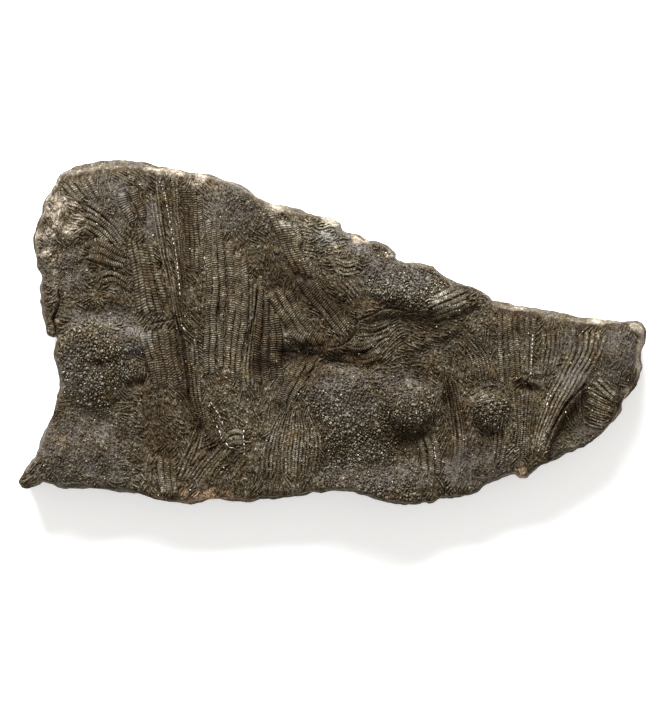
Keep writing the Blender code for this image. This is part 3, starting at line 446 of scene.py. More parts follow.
# Unevenness, each a sum of noises: their strength, the size of their lumps and their layer.
UNDULATION = [(0.7, 21.0, 3.0), (0.35, 8.0, 9.0), (0.22, 3.2, 17.0)]
RAGGED_OUTLINE = [(0.22, 1.7, 5.0), (0.22, 4.5, 25.0)]
RIM_WAVES = [(0.5, 6.0, 40.0), (0.25, 1.6, 50.0)]
BED_WAVES = [(0.7, 16.0, 2.0), (0.25, 4.0, 4.0)]
PALE_BREAKS = [(1.0, 2.6, 71.0), (0.8, 1.1, 81.0)]
UNDERSIDE_WAVES = [(1.0, 6.0, 90.0), (0.5, 2.0, 95.0)]

# The face's edge, its broken sides and its underside.
OUTLINE_PULL = 0.12
LEAST_INSET = 0.2
NODULE_RISE = 1.45
HOLLOW_REACH = 2.2
BED_THICKNESS = 1.5
SLOPE_DEPTH = 1.9
SIDE_SHARES = (0.0, 0.06, 0.3, 0.78, 0.96, 1.0)
SIDE_INSETS = (1.5, 0.9, 0.5, 0.0, 0.4, 0.75)
UNDERSIDE_RELIEF = 0.3

# The arms' sections, from one side to the other, and one ossicle's rings along an arm.
WIDE_SECTION = [(-1.0, 0.0), (-0.88, 0.62), (-0.5, 0.94), (0.0, 1.0), (0.5, 0.94), (0.88, 0.62), (1.0, 0.0)]
NARROW_SECTION = [(-1.0, 0.0), (-0.6, 0.78), (0.0, 1.0), (0.6, 0.78), (1.0, 0.0)]
PINNULE_SECTION = [(-1.0, 0.0), (0.0, 1.0), (1.0, 0.0)]
NARROW_ARM = 1.15
OSSICLE_RINGS = (0.0, 0.62, 1.0, 0.62)
ARM_RISE_PER_WIDTH = 0.4
ARM_RISE_LIMITS = (0.32, 0.74)
ARM_SINK = 0.7
PINNULE_SINK = 0.35
JOINT_DEPTH = 0.26
END_TRIM = 0.1

# Pinnules and scraps: the strip that each covers, its steps along the flow, and its least points.
Strand = namedtuple("Strand", "gap steps least lift half_width")
PINNULE = Strand(0.5, (3, 9), 3, (0.2, 0.46), (0.17, 0.25))
SCRAP = Strand(0.38, (1, 3), 2, (0.18, 0.44), (0.15, 0.25))
MAT_PIECES = ("mat_left", "mat_centre", "mat_right")

# Grit: the ground that each grain takes, how much of the open ground is tried, and its radius.
GritSize = namedtuple("GritSize", "gap share low high")
GRIT_SIZES = [
    GritSize(0.56, 0.04, 0.27, 0.42),
    GritSize(0.34, 0.3, 0.16, 0.26),
    GritSize(0.24, 0.5, 0.1, 0.17),
]
GRIT_SIDES = 5
GRIT_ROOT = 0.35
# Painted shade at each grain's foot and painted highlight at its tip: the tone of its base, its shoulder and
# its top.
GRIT_PAINTED_SHADING = (-0.25, 0.0, 0.04)

FLECK_COUNT = 440
FLECK_TRIES = 30000
FLECK_CORNERS = [(1, 0, 0), (0, 1, 0), (-1, 0, 0), (0, -1, 0), (0, 0, 1), (0, 0, -1)]


def unit(values):
    """Returns the values, kept between 0 and 1."""
    return np.clip(values, 0.0, 1.0)


def pairs(ring):
    """Returns each number of a ring with the one after it."""
    return list(zip(ring, ring[1:] + ring[:1]))


def spline(points, count, closed=False):
    """Returns count points at equal steps along a smooth line through the points."""
    given = np.array(points, dtype=float)
    if closed:
        padded = np.vstack([given[-1:], given, given[:2]])
    else:
        padded = np.vstack([2 * given[0] - given[1], given, 2 * given[-1] - given[-2]])
    t = np.linspace(0.0, 1.0, SPLINE_STEPS, endpoint=False)[:, None]
    pieces = []
    for a, b, c, d in zip(padded[:-3], padded[1:-2], padded[2:-1], padded[3:]):
        pieces.append(b + 0.5 * t * (c - a + t * (2 * a - 5 * b + 4 * c - d + t * (3 * b - a - 3 * c + d))))
    pieces.append(given[:1] if closed else given[-1:])
    line = np.vstack(pieces)
    reach = np.concatenate([[0.0], np.cumsum(np.linalg.norm(np.diff(line, axis=0), axis=1))])
    stops = np.linspace(0.0, reach[-1], count, endpoint=not closed)
    return np.column_stack([np.interp(stops, reach, values) for values in line.T])


def line_length(points):
    """Returns the length of a line through the points."""
    return float(np.linalg.norm(np.diff(np.array(points), axis=0), axis=1).sum())


def inside(points, polygon):
    """Tells which points lie inside a polygon."""
    result = np.zeros(len(points), dtype=bool)
    for (x0, y0), (x1, y1) in zip(polygon, np.roll(polygon, -1, axis=0)):
        crosses = (y0 > points[:, 1]) != (y1 > points[:, 1])
        if y0 != y1:
            result ^= crosses & (points[:, 0] < x0 + (points[:, 1] - y0) * (x1 - x0) / (y1 - y0))
    return result


def near_box(points, line, reach):
    """Tells which points lie in a line's own box, widened by a reach."""
    return np.all((points > line.min(axis=0) - reach) & (points < line.max(axis=0) + reach), axis=1)


def line_distance(points, line, closed=False):
    """Returns each point's distance to a line, its side (left is positive) and its share along the line."""
    line = np.array(line, dtype=float)
    starts = line if closed else line[:-1]
    ends = np.roll(line, -1, axis=0) if closed else line[1:]
    lengths = np.linalg.norm(ends - starts, axis=1)
    before = np.concatenate([[0.0], np.cumsum(lengths)[:-1]])
    nearest = np.full(len(points), np.inf)
    side = np.zeros(len(points))
    share = np.zeros(len(points))
    for start, end, length, reach in zip(starts, ends, lengths, before):
        way = (end - start) / length
        offset = points - start
        along = np.clip(offset[:, 0] * way[0] + offset[:, 1] * way[1], 0.0, length)
        distance = np.linalg.norm(offset - along[:, None] * way, axis=1)
        closer = distance < nearest
        nearest[closer] = distance[closer]
        side[closer] = np.where(way[0] * offset[closer, 1] - way[1] * offset[closer, 0] >= 0.0, 1.0, -1.0)
        share[closer] = (reach + along[closer]) / lengths.sum()
    return nearest, side, share


def headings(line):
    """Returns the way along a line at each of its points, and the way to its left."""
    way = np.gradient(line, axis=0)
    way /= np.linalg.norm(way, axis=1)[:, None]
    return way, np.column_stack([-way[:, 1], way[:, 0]])


def turned(points, angle):
    """Returns how far the points lie along a heading, and how far across it."""
    x, y = points[:, 0], points[:, 1]
    return x * np.cos(angle) + y * np.sin(angle), y * np.cos(angle) - x * np.sin(angle)


def mound_height(points, mound):
    """Returns one swelling's share of the height."""
    across, upward = turned(points - (mound.x, mound.y), np.radians(mound.turn))
    reach = np.hypot(across / mound.across, upward / np.where(upward > 0.0, mound.up, mound.down))
    return abs(mound.rise) * np.clip(1.0 - reach ** mound.power, 0.0, None) ** 1.5


def smooth_union(heights):
    """Joins overlapping swellings without adding them up in full."""
    return np.sum(np.array(heights) ** 3, axis=0) ** (1.0 / 3.0)


def ledge_height(points, ledge):
    """Returns the height that a layer keeps behind its broken edge."""
    distance, side, share = line_distance(points, ledge.line)
    behind = unit(1.0 - distance / ledge.run) ** 2
    front = unit(1.0 - distance / ledge.width)
    fade = unit(6.0 * np.minimum(share, 1.0 - share) + 0.15)
    return ledge.drop * fade * np.where(side > 0.0, behind, front)


def groove_depth(points, groove):
    """Returns how deep a seam cuts, full along its line and shallow at its inner end."""
    distance, _, share = line_distance(points, groove.line)
    return groove.depth * unit(5.0 * (1.0 - share)) * unit(1.0 - distance / groove.half_width)


def outward_normals(ring):
    """Returns smoothed outward directions along a clockwise ring."""
    way = np.roll(ring, -1, axis=0) - np.roll(ring, 1, axis=0)
    normals = np.column_stack([-way[:, 1], way[:, 0]])
    for _ in range(NORMAL_SMOOTHINGS):
        normals = normals + 0.5 * (np.roll(normals, 1, axis=0) + np.roll(normals, -1, axis=0))
        normals /= np.linalg.norm(normals, axis=1)[:, None]
    return normals


def noise_at(points, size, layer):
    """Returns smooth noise, from -1 to 1, at each point; its lumps are about size across."""
    layers = np.broadcast_to(layer, len(points))
    return np.array([noise.noise(Vector((x, y, z)) / size) for (x, y), z in zip(points, layers)])


def waves_at(points, waves, base=0.0):
    """Adds up some noises, each given by its strength, the size of its lumps and its layer."""
    return sum((strength * noise_at(points, size, layer) for strength, size, layer in waves), base)


def lumps_at(points, size, layer):
    """Returns how near each point is to the middle of its grain, from 0 at a joint to 1."""
    nearest = [noise.voronoi(Vector((x, y, layer)) / size)[0][:2] for x, y in points]
    return unit([second - first for first, second in nearest])


def jittered(line, amount, size, layer):
    """Returns a line with a natural jitter."""
    return line + amount * np.column_stack([noise_at(line, size, layer), noise_at(line, size, layer + 10.0)])


def swelling(count, power):
    """Returns the fullness of a sliver at each of its points: pointed ends and a full middle."""
    return np.sin(np.linspace(0.12, 0.88, count) * np.pi) ** power


class Grid:
    """Values on a square grid over the slab, read between its points."""

    def __init__(self, step, margin=3.0):
        self.step = step
        self.margin = margin
        x = np.arange(-margin, LENGTH + margin + step, step)
        y = np.arange(-margin, WIDTH + margin + step, step)
        self.shape = (len(y), len(x))
        self.points = np.column_stack([v.ravel() for v in np.meshgrid(x, y)])

    def fill(self, values):
        """Sets the grid's values, one for each of its points."""
        self.values = np.array(values, dtype=float).reshape(self.shape)
        return self

    def nearest(self, x, y):
        """Returns the row and column nearest to a spot."""
        return round((y + self.margin) / self.step), round((x + self.margin) / self.step)

    def at(self, points):
        """Returns the value at each point."""
        place = (np.asarray(points) + self.margin) / self.step
        column = np.clip(place[:, 0], 0, self.shape[1] - 1.001)
        row = np.clip(place[:, 1], 0, self.shape[0] - 1.001)
        i = column.astype(int)
        j = row.astype(int)
        u = column - i
        v = row - j
        low = self.values[j, i] * (1 - u) + self.values[j, i + 1] * u
        high = self.values[j + 1, i] * (1 - u) + self.values[j + 1, i + 1] * u
        return low * (1 - v) + high * v

    def blurred(self, reach):
        """Returns a copy whose values are averaged over a reach, twice."""
        count = max(1, round(reach / self.step))
        values = self.values
        for axis in (0, 1, 0, 1):
            pads = [(count, count) if number == axis else (0, 0) for number in (0, 1)]
            total = np.cumsum(np.pad(values, pads, mode="edge"), axis=axis)
            ahead = np.take(total, range(2 * count, total.shape[axis]), axis=axis)
            behind = np.take(total, range(0, total.shape[axis] - 2 * count), axis=axis)
            values = (ahead - behind) / (2 * count)
        return Grid(self.step, self.margin).fill(values)


def wander(points):
    """Returns the points moved a little, so that round forms get uneven outlines."""
    steps = [noise.noise_vector(Vector((x, y, 60.0)) / WANDER_LENGTH) for x, y in points]
    return points + WANDER * np.array([(step.x, step.y) for step in steps])


def open_height(points, uneven):
    """Returns the height of the face between the arms, before its edge rolls down."""
    raised = smooth_union([mound_height(uneven, mound) for mound in MOUNDS if mound.rise > 0.0])
    sunk = smooth_union([mound_height(uneven, mound) for mound in MOUNDS if mound.rise < 0.0])
    layers = sum(ledge_height(points, ledge) for ledge in LEDGES)
    return THICKNESS + waves_at(points, UNDULATION) + raised - sunk + layers


def patch_cover(points, patches):
    """Returns how fully the patches cover each point, and how orange they are there."""
    cover = np.zeros(len(points))
    orange = np.zeros(len(points))
    for patch in patches:
        reach = np.hypot((points[:, 0] - patch.x) / patch.across, (points[:, 1] - patch.y) / patch.up)
        here = patch.strength * unit(1.6 * (1.15 - reach))
        orange = np.where(here > cover, patch.orange, orange)
        cover = np.maximum(cover, here)
    return cover, orange


def shade_tone(points):
    """Returns how much the painted shade and painted highlight, partly real stain and dust, change the tone
    at each point.
    """
    total = np.zeros(len(points))
    for shade in SHADES:
        line = spline(shade.line, 16)
        near = near_box(points, line, shade.reach)
        share = line_distance(points[near], line)[0] / shade.reach
        total[near] += shade.tone * unit(1.0 - share ** 2) ** 1.5
    return total


def crack_line(groove):
    """Returns a groove's line with a natural jitter."""
    line = spline(groove.line, round(line_length(groove.line) / GROOVE_POINT_STEP))
    return jittered(line, 0.16, 1.1, 800.0)


def crack_depth(points, cracks):
    """Returns how deep the grooves cut at each point."""
    depth = np.zeros(len(points))
    for crack in cracks:
        near = near_box(points, crack.line, crack.half_width)
        depth[near] = np.maximum(depth[near], groove_depth(points[near], crack))
    return depth


def over_face(values):
    """Returns a grid over the face with the values."""
    return Grid(GRID_STEP).fill(values)


class Slab:
    """The slab's outline, and the grids of height and colour that every piece is draped on."""

    def __init__(self):
        self.break_rim()
        points = Grid(GRID_STEP).points
        uneven = wander(points)
        self.raise_face(points, uneven)
        self.colour_face(points, uneven)
        self.fill_flow()

    def break_rim(self):
        """Works out the broken outline, the rim where the face ends, and the depth inside it."""
        smooth = spline(OUTLINE, round(line_length(OUTLINE) / SIDE_STEP), closed=True)
        ragged = waves_at(smooth, RAGGED_OUTLINE) - OUTLINE_PULL
        self.outline = smooth + outward_normals(smooth) * ragged[:, None]
        self.normals = outward_normals(self.outline)
        inset = waves_at(smooth, RIM_WAVES, RIM_INSET)
        for bevel in BEVELS:
            away = np.hypot(smooth[:, 0] - bevel.x, smooth[:, 1] - bevel.y) / bevel.reach
            inset += bevel.width * unit(2.0 - 2.0 * away)
        self.inset = np.maximum(inset, LEAST_INSET)
        self.rim = self.outline - self.normals * self.inset[:, None]
        coarse = Grid(DEPTH_STEP)
        distance = line_distance(coarse.points, self.rim, closed=True)[0]
        self.depth = coarse.fill(np.where(inside(coarse.points, self.rim), distance, -distance))

    def raise_face(self, points, uneven):
        """Works out the height of the bare face, its hollows and the depth of its cracks."""
        height = open_height(points, uneven)
        face = over_face(height)
        # The hollows' depth is used only for painted shade in the hollows and painted highlight on the
        # domes.
        self.hollow = over_face(face.blurred(HOLLOW_REACH).values - face.values)
        rolled = EDGE_DROP * unit(1.0 - np.abs(self.depth.at(points)) / EDGE_RUN) ** 2
        rolled *= 1.0 + 0.9 * noise_at(points, 3.0, 55.0)
        self.bare = over_face(height - rolled)
        self.cracks = [groove._replace(line=crack_line(groove)) for groove in GROOVES]
        fine = Grid(CRACK_STEP)
        self.crack = fine.fill(crack_depth(fine.points, self.cracks))

    def colour_face(self, points, uneven):
        """Works out where the nodules, the mud, the pale ground, the painted shade and highlight and the
        arms lie.
        """
        nodules = [mound_height(uneven, mound) for mound in MOUNDS if mound.rise > NODULE_RISE]
        nodule = unit(smooth_union(nodules) / 1.5)
        self.nodule = over_face(nodule)
        mud = patch_cover(points, MUD_PATCHES)[0]
        self.mud = over_face(unit(mud * (0.75 + 0.9 * noise_at(points, 4.0, 31.0))))
        self.grainy = over_face(np.maximum(patch_cover(points, GRAINY_PATCHES)[0], nodule))
        pale, orange = patch_cover(points, PALE_PATCHES)
        broken = 1.6 * waves_at(points, PALE_BREAKS) * np.sqrt(pale)
        self.pale = over_face(unit(1.7 * pale - 0.85 + broken) * (pale > 0.02))
        self.orange = over_face(orange)
        self.shade = over_face(shade_tone(points))
        self.polygons = [
            np.vstack([spline(bundle.left, 14), spline(bundle.right, 14)[::-1]])
            for bundle in BUNDLES
        ]
        self.cover = over_face(np.any([inside(points, polygon) for polygon in self.polygons], axis=0))

    def fill_flow(self):
        """Works out the way that fibres run at each point of the face."""
        samples = []
        for bundle in BUNDLES:
            left = spline(bundle.left, 12)
            right = spline(bundle.right, 12)
            samples += [left + share * (right - left) for share in (0.15, 0.5, 0.85)]
        samples += [spline(line, 10) for line in STREAKS]
        ways = np.vstack([np.gradient(line, axis=0) for line in samples])
        double = 2.0 * np.arctan2(ways[:, 1], ways[:, 0])
        coarse = Grid(FLOW_STEP)
        total_x = np.zeros(len(coarse.points))
        total_y = np.zeros(len(coarse.points))
        for (x, y), angle in zip(np.vstack(samples), double):
            near = 1.0 / ((coarse.points[:, 0] - x) ** 2 + (coarse.points[:, 1] - y) ** 2 + 0.4) ** 2
            total_x += near * np.cos(angle)
            total_y += near * np.sin(angle)
        size = np.hypot(total_x, total_y)
        self.flow_x = Grid(FLOW_STEP).fill(total_x / size)
        self.flow_y = Grid(FLOW_STEP).fill(total_y / size)

    def flow(self, points):
        """Returns the fibres' heading at each point, as an angle."""
        return 0.5 * np.arctan2(self.flow_y.at(points), self.flow_x.at(points))

    def drawn_noise(self, points, stretch, size, layer):
        """Returns noise drawn out along the flow."""
        along, across = turned(points, self.flow(points))
        return noise_at(np.column_stack([stretch * along, across]), size, layer)

    def within(self, points, margin):
        """Tells which points lie on the face, at least a margin inside its rim."""
        return self.depth.at(points) > margin

    def tints(self, points, tone):
        """Returns the four colour channels that the stone's material reads; the tone carries painted shade
        in the hollows and grooves and painted highlight on the domes.
        """
        # Painted shade in the hollows and painted highlight on the domes, added to the shade table's painted
        # shade and highlight.
        shade = tone + self.shade.at(points) - 0.2 * np.clip(self.hollow.at(points), -0.5, 0.9)
        # Painted shade in the grooves and cracks.
        shade -= 0.6 * unit(self.crack.at(points))
        return {"tone": shade, "mud": self.mud.at(points), "pale": self.pale.at(points),
                "orange": self.orange.at(points)}


def fine_relief(slab, points):
    """Returns the ground's grain: rounded grains, pits and fibres, and how raised each point is."""
    nodule = slab.nodule.at(points)
    fibres = slab.drawn_noise(points, 0.28, 0.62, 3.0)
    grain = 0.5 * (lumps_at(points, 1.2, 11.0) - 0.4) + 0.42 * (lumps_at(points, 0.62, 13.0) - 0.4)
    soft = 1.0 - 0.6 * slab.mud.at(points) * (1.0 - 0.6 * nodule)
    amount = (0.75 + 0.7 * nodule) * soft
    relief = amount * grain + 0.3 * soft * (1.0 - 0.7 * nodule) * fibres + 0.15 * noise_at(points, 2.2, 19.0)
    return relief, np.clip(relief / 0.34, -1.0, 1.0)


def linked(name, data):
    """Adds an object with the data to the scene."""
    thing = bpy.data.objects.new(name, data)
    bpy.context.scene.collection.objects.link(thing)
    return thing


def make_object(name, body, material, smooth=True):
    """Makes a mesh piece from a body in millimetres: its points, faces and colour channels."""
    points, faces, tints = body
    mesh = bpy.data.meshes.new(name)
    centre = np.array([0.5 * LENGTH, 0.5 * WIDTH, 0.0])
    placed = (np.asarray(points) - centre) * METRES_PER_MILLIMETRE
    mesh.from_pydata(np.clip(placed, CAD_LOW, CAD_HIGH).tolist(), [], faces)
    for channel, values in tints.items():
        attribute = mesh.attributes.new(channel, "FLOAT", "POINT")
        attribute.data.foreach_set("value", np.asarray(values, dtype=np.float32))
    if smooth:
        mesh.shade_smooth()
    mesh.materials.append(material)
    piece = linked(name, mesh)
    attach(piece, "root")
    return piece


def stacked(layers):
    """Stacks the points and the channels of layers or bodies."""
    names = layers[0][-1]
    tints = {name: np.concatenate([layer[-1][name] for layer in layers]) for name in names}
    return np.vstack([layer[0] for layer in layers]), tints


def joined(bodies):
    """Joins bodies, each of points, faces and channels, into one body."""
    faces = []
    start = 0
    for points, own_faces, _ in bodies:
        faces += [[start + number for number in face] for face in own_faces]
        start += len(points)
    points, tints = stacked(bodies)
    return points, faces, tints


def staggered(step):
    """Returns staggered points over the whole slab."""
    rows = []
    for index, y in enumerate(np.arange(0.0, WIDTH, step * 0.866)):
        x = np.arange(0.0, LENGTH, step) + 0.5 * step * (index % 2)
        rows.append(np.column_stack([x, np.full(len(x), y)]))
    return np.vstack(rows)


def triangulated(ring, inner, lines=()):
    """Returns the points and triangles of a flat area inside a ring, and each ring point's number.

    Edges run along the lines too, which keeps a crack's floor and lips straight.
    """
    start = len(ring)
    edges = pairs(list(range(start)))
    for line in lines:
        edges += [(number, number + 1) for number in range(start, start + len(line) - 1)]
        start += len(line)
    plan = [Vector(point) for point in np.vstack([ring, *lines, inner])]
    points, _, triangles, sources, _, _ = delaunay_2d_cdt(plan, edges, [], 1, 1e-5)
    numbers = {original: number for number, source in enumerate(sources) for original in source}
    ring_numbers = [numbers[original] for original in range(len(ring))]
    return np.array(points), [list(triangle) for triangle in triangles], ring_numbers


def groove_lines(slab):
    """Returns lines along the grooves' floors and lips."""
    lines = []
    for crack in slab.cracks:
        left = headings(crack.line)[1]
        for offset in (-crack.half_width, 0.0, crack.half_width):
            line = crack.line + offset * left
            first, last = kept_stretch(slab.within(line, 0.35))
            lines.append(line[first:last])
    return lines


def ground_points(slab, lines):
    """Returns the face's inner points, closest together where the ground shows."""
    zones = []
    for step, hidden in ((OPEN_GROUND_STEP, False), (COVERED_GROUND_STEP, True)):
        points = staggered(step)
        points = points[slab.within(points, 0.25)]
        zones.append(points[(slab.cover.at(points) > 0.5) == hidden])
    points = np.vstack(zones)
    clear = np.ones(len(points), dtype=bool)
    for line in lines:
        close = near_box(points, line, 1.0)
        clear[close] &= line_distance(points[close], line)[0] > 0.18
    return points[clear]


def beds_at(slab, height, sharpness):
    """Returns the number of the bed at each outline point, and how close it is to a split between beds."""
    bed = waves_at(slab.outline, BED_WAVES, height / BED_THICKNESS)
    number = np.floor(bed)
    return number, unit(1.0 - sharpness * np.minimum(bed - number, number + 1.0 - bed))


def side_inset(slab, share, height):
    """Returns how far in from the outline the broken side lies, bed by bed."""
    number, split = beds_at(slab, height, 5.0)
    stepped = np.clip(noise_at(slab.outline, 7.0, 37.0 * number) + 0.2, -0.2, 0.7)
    rough = waves_at(slab.outline, [(0.18, 1.2, 2.0 * height), (0.25, 3.0, height)])
    broken = 1.5 * stepped + 0.3 * split + rough
    inset = np.interp(share, SIDE_SHARES, SIDE_INSETS)
    return inset + broken * unit(4.0 * (1.0 - share)) * np.clip(8.0 * share, 0.2, 1.0)


def add_sides(slab, layers, faces, upper):
    """Adds the layered broken sides below the rim, and returns the numbers of their lowest points."""
    rim_height = layers[0][0][upper, 2]
    total = len(layers[0][0])
    side_pale = unit(1.8 * slab.pale.blurred(0.9).at(slab.rim))
    stain_reach = np.maximum(2.6 + 2.6 * noise_at(slab.outline, 3.0, 66.0), 0.6)
    bevel = np.maximum(slab.inset - RIM_INSET, 0.0)
    rows = round(THICKNESS / SIDE_ROW)
    for row in range(1, rows + 1):
        share = 1.0 - row / rows
        height = rim_height * share
        below = rim_height - height
        inset = side_inset(slab, share, height) + unit(1.0 - below / SLOPE_DEPTH) * bevel
        spots = slab.outline - slab.normals * inset[:, None]
        number, split = beds_at(slab, height, 6.0)
        grain = noise_at(spots, 1.1, 3.0 * height) + noise_at(spots, 0.6, 5.0 * height)
        stain = side_pale * unit(1.4 - below / stain_reach)
        # Painted shade in the splits between the beds.
        layers.append((np.column_stack([spots, height]), {
            "tone": 0.35 * noise_at(spots, 18.0, 53.0 * number) + 0.22 * grain - 0.4 * split,
            "mud": unit(0.4 + 0.9 * noise_at(spots, 9.0, 29.0 * number)),
            "pale": unit(stain * (1.1 + 0.8 * grain) - 0.1),
            "orange": slab.orange.at(slab.rim)}))
        lower = list(range(total, total + len(spots)))
        total += len(spots)
        faces += [[a, b, d, c] for (a, b), (c, d) in zip(pairs(upper), pairs(lower))]
        upper = lower
    return upper


def add_underside(layers, faces, edge):
    """Closes the slab with a flat, slightly rough underside inside its edge's points."""
    base = layers[-1][0][:, :2]
    inner = staggered(UNDERSIDE_STEP)
    clear = inside(inner, base) & (line_distance(inner, base, closed=True)[0] > 0.7)
    plan, triangles, ring = triangulated(base, inner[clear])
    numbers = dict(zip(ring, edge))
    extra = [number for number in range(len(plan)) if number not in numbers]
    numbers.update(zip(extra, range(edge[-1] + 1, edge[-1] + 1 + len(extra))))
    spots = plan[extra]
    relief = UNDERSIDE_RELIEF * unit(waves_at(spots, UNDERSIDE_WAVES))
    plain = np.zeros(len(spots))
    layers.append((np.column_stack([spots, relief]), {
        "tone": 0.1 * noise_at(spots, 3.0, 97.0),
        "mud": unit(0.6 + 0.5 * noise_at(spots, 9.0, 98.0)),
        "pale": plain, "orange": plain}))
    faces += [[numbers[c], numbers[b], numbers[a]] for a, b, c in triangles]


def make_slab(slab, material):
    """Makes the slab: the grained face, the layered broken sides and the underside."""
    lines = groove_lines(slab)
    plan, faces, ring = triangulated(slab.rim, ground_points(slab, lines), lines)
    relief, raised = fine_relief(slab, plan)
    height = slab.bare.at(plan) + relief - crack_depth(plan, slab.cracks)
    # Painted highlight on the grains' tops and painted shade in the pits between them, and painted shade on
    # the ground under the arm bundles.
    tone = 0.5 * raised - 0.02 - 0.3 * slab.cover.at(plan)
    layers = [(np.column_stack([plan, height]), slab.tints(plan, tone))]
    edge = add_sides(slab, layers, faces, ring)
    add_underside(layers, faces, edge)
    points, tints = stacked(layers)
    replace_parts(make_object("slab_stone", (points, faces, tints), material), "fossil_slab")


def swept(slab, centre, half_width, height, section, lean=0.0, sink=ARM_SINK):
    """Returns a closed body along a line on the ground, and how high each point lies on its section."""
    way, left = headings(centre)
    across, upward = np.array([*section, (0.0, 0.0)]).T
    sideways = half_width[:, None] * across[None, :]
    plan = centre[:, None, :] + (left[:, None, :] + lean * way[:, None, :]) * sideways[:, :, None]
    spots = plan.reshape(-1, 2)
    ground = (slab.bare.at(spots) - slab.crack.at(spots)).reshape(sideways.shape)
    z = ground + height[:, None] * upward[None, :]
    z[:, [0, -2]] -= 0.45 * sink
    z[:, -1] = ground[:, -1] - sink
    points = np.concatenate([plan, z[:, :, None]], axis=2).reshape(-1, 3)
    around = len(across)
    rings = [list(range(start, start + around)) for start in range(0, len(points), around)]
    faces = [[a, a + around, b + around, b] for ring in rings[:-1] for a, b in pairs(ring)]
    faces += [rings[0], rings[-1][::-1]]
    return points, faces, np.tile(upward, len(rings))


def buried_share(slab, centre, later):
    """Returns how far each point of a line lies under later bundles or too near the rim, softened."""
    under = ~slab.within(centre, 0.7)
    for polygon in later:
        under |= inside(centre, polygon)
    window = np.ones(9) / 9.0
    return np.convolve(np.pad(under.astype(float), 4, mode="edge"), window, mode="valid")


def kept_stretch(kept):
    """Returns where the first unbroken stretch of kept rings starts and ends."""
    if not kept.any():
        return 0, 0
    first = int(np.argmax(kept))
    rest = kept[first:]
    last = len(kept) if rest.all() else first + int(np.argmin(rest))
    return first, last


def arm_body(slab, bundle, index, later, rng):
    """Makes one arm: a rope of ossicles that sinks into the stone at both ends."""
    length = 0.5 * (line_length(bundle.left) + line_length(bundle.right))
    pitch = bundle.pitch * rng.uniform(0.93, 1.07)
    count = len(OSSICLE_RINGS) * max(4, round(length / pitch))
    left = spline(bundle.left, count)
    right = spline(bundle.right, count)
    spacing = np.linalg.norm(right - left, axis=1) / bundle.arms
    drift = 0.4 * noise_at(left, 6.0, 100.0 + 1.7 * index) + 0.15 * rng.uniform(-1.0, 1.0)
    centre = left + (right - left) * ((index + 0.5 + drift) / bundle.arms)[:, None]
    trim = rng.uniform(0.0, END_TRIM, 2) * count
    kept = slab.within(centre, 0.45)
    kept[:int(trim[0])] = False
    kept[count - int(trim[1]):] = False
    first, last = kept_stretch(kept)
    if last - first < 3 * len(OSSICLE_RINGS):
        return None
    centre = centre[first:last]
    spacing = spacing[first:last]
    stops = np.linspace(0.0, length, count)[first:last]

    rise = np.clip(ARM_RISE_PER_WIDTH * spacing, *ARM_RISE_LIMITS) * bundle.rise * rng.uniform(0.8, 1.2)
    rise *= 1.0 + 0.3 * noise_at(centre, 4.0, 210.0 + index)
    to_end = np.minimum(stops - stops[0], stops[-1] - stops)
    shown = unit(to_end / rng.uniform(0.6, 2.0)) ** 0.6
    shown *= 1.0 - buried_share(slab, centre, later)
    worn = np.clip(1.7 * noise_at(centre, 5.0, 320.0 + 3.0 * index) - 0.2, 0.0, 0.9)
    joint = 1.0 - np.resize(OSSICLE_RINGS, len(centre))
    height = rise * (1.0 - worn) * shown - 0.55 * (1.0 - shown) - JOINT_DEPTH * bundle.rib * joint
    half_width = 0.48 * spacing * (1.0 + 0.14 * noise_at(centre, 3.0, 400.0 + index))
    half_width = np.maximum(half_width * (1.0 - 0.1 * bundle.rib * joint), 0.12)
    section = NARROW_SECTION if spacing.mean() < NARROW_ARM else WIDE_SECTION
    points, faces, upward = swept(slab, centre, half_width, height, section, rng.uniform(-0.35, 0.35))

    ossicles = rng.uniform(-0.11, 0.11, count)[np.arange(len(centre)) // len(OSSICLE_RINGS)]
    along = 0.6 * bundle.tone + rng.uniform(-0.12, 0.08) + 0.35 * noise_at(centre, 2.5, 500.0 + index)
    # Painted shade in the joints between ossicles.
    along += ossicles + 0.03 - 0.75 * bundle.rib * joint
    # Painted highlight on the arm's crest and painted shade down its flanks.
    tone = np.repeat(along, len(section) + 1) + 0.8 * (upward - 0.78)
    return points, faces, slab.tints(points[:, :2], tone)


def make_arms(slab, group, material):
    """Makes all the arms of one part of the face."""
    rng = np.random.default_rng(SEED)
    bodies = []
    for number, bundle in enumerate(BUNDLES):
        if bundle.group == group:
            later = slab.polygons[number + 1:]
            made = [arm_body(slab, bundle, index, later, rng) for index in range(bundle.arms)]
            bodies += [body for body in made if body is not None]
    make_object("arms_" + group, joined(bodies), material)


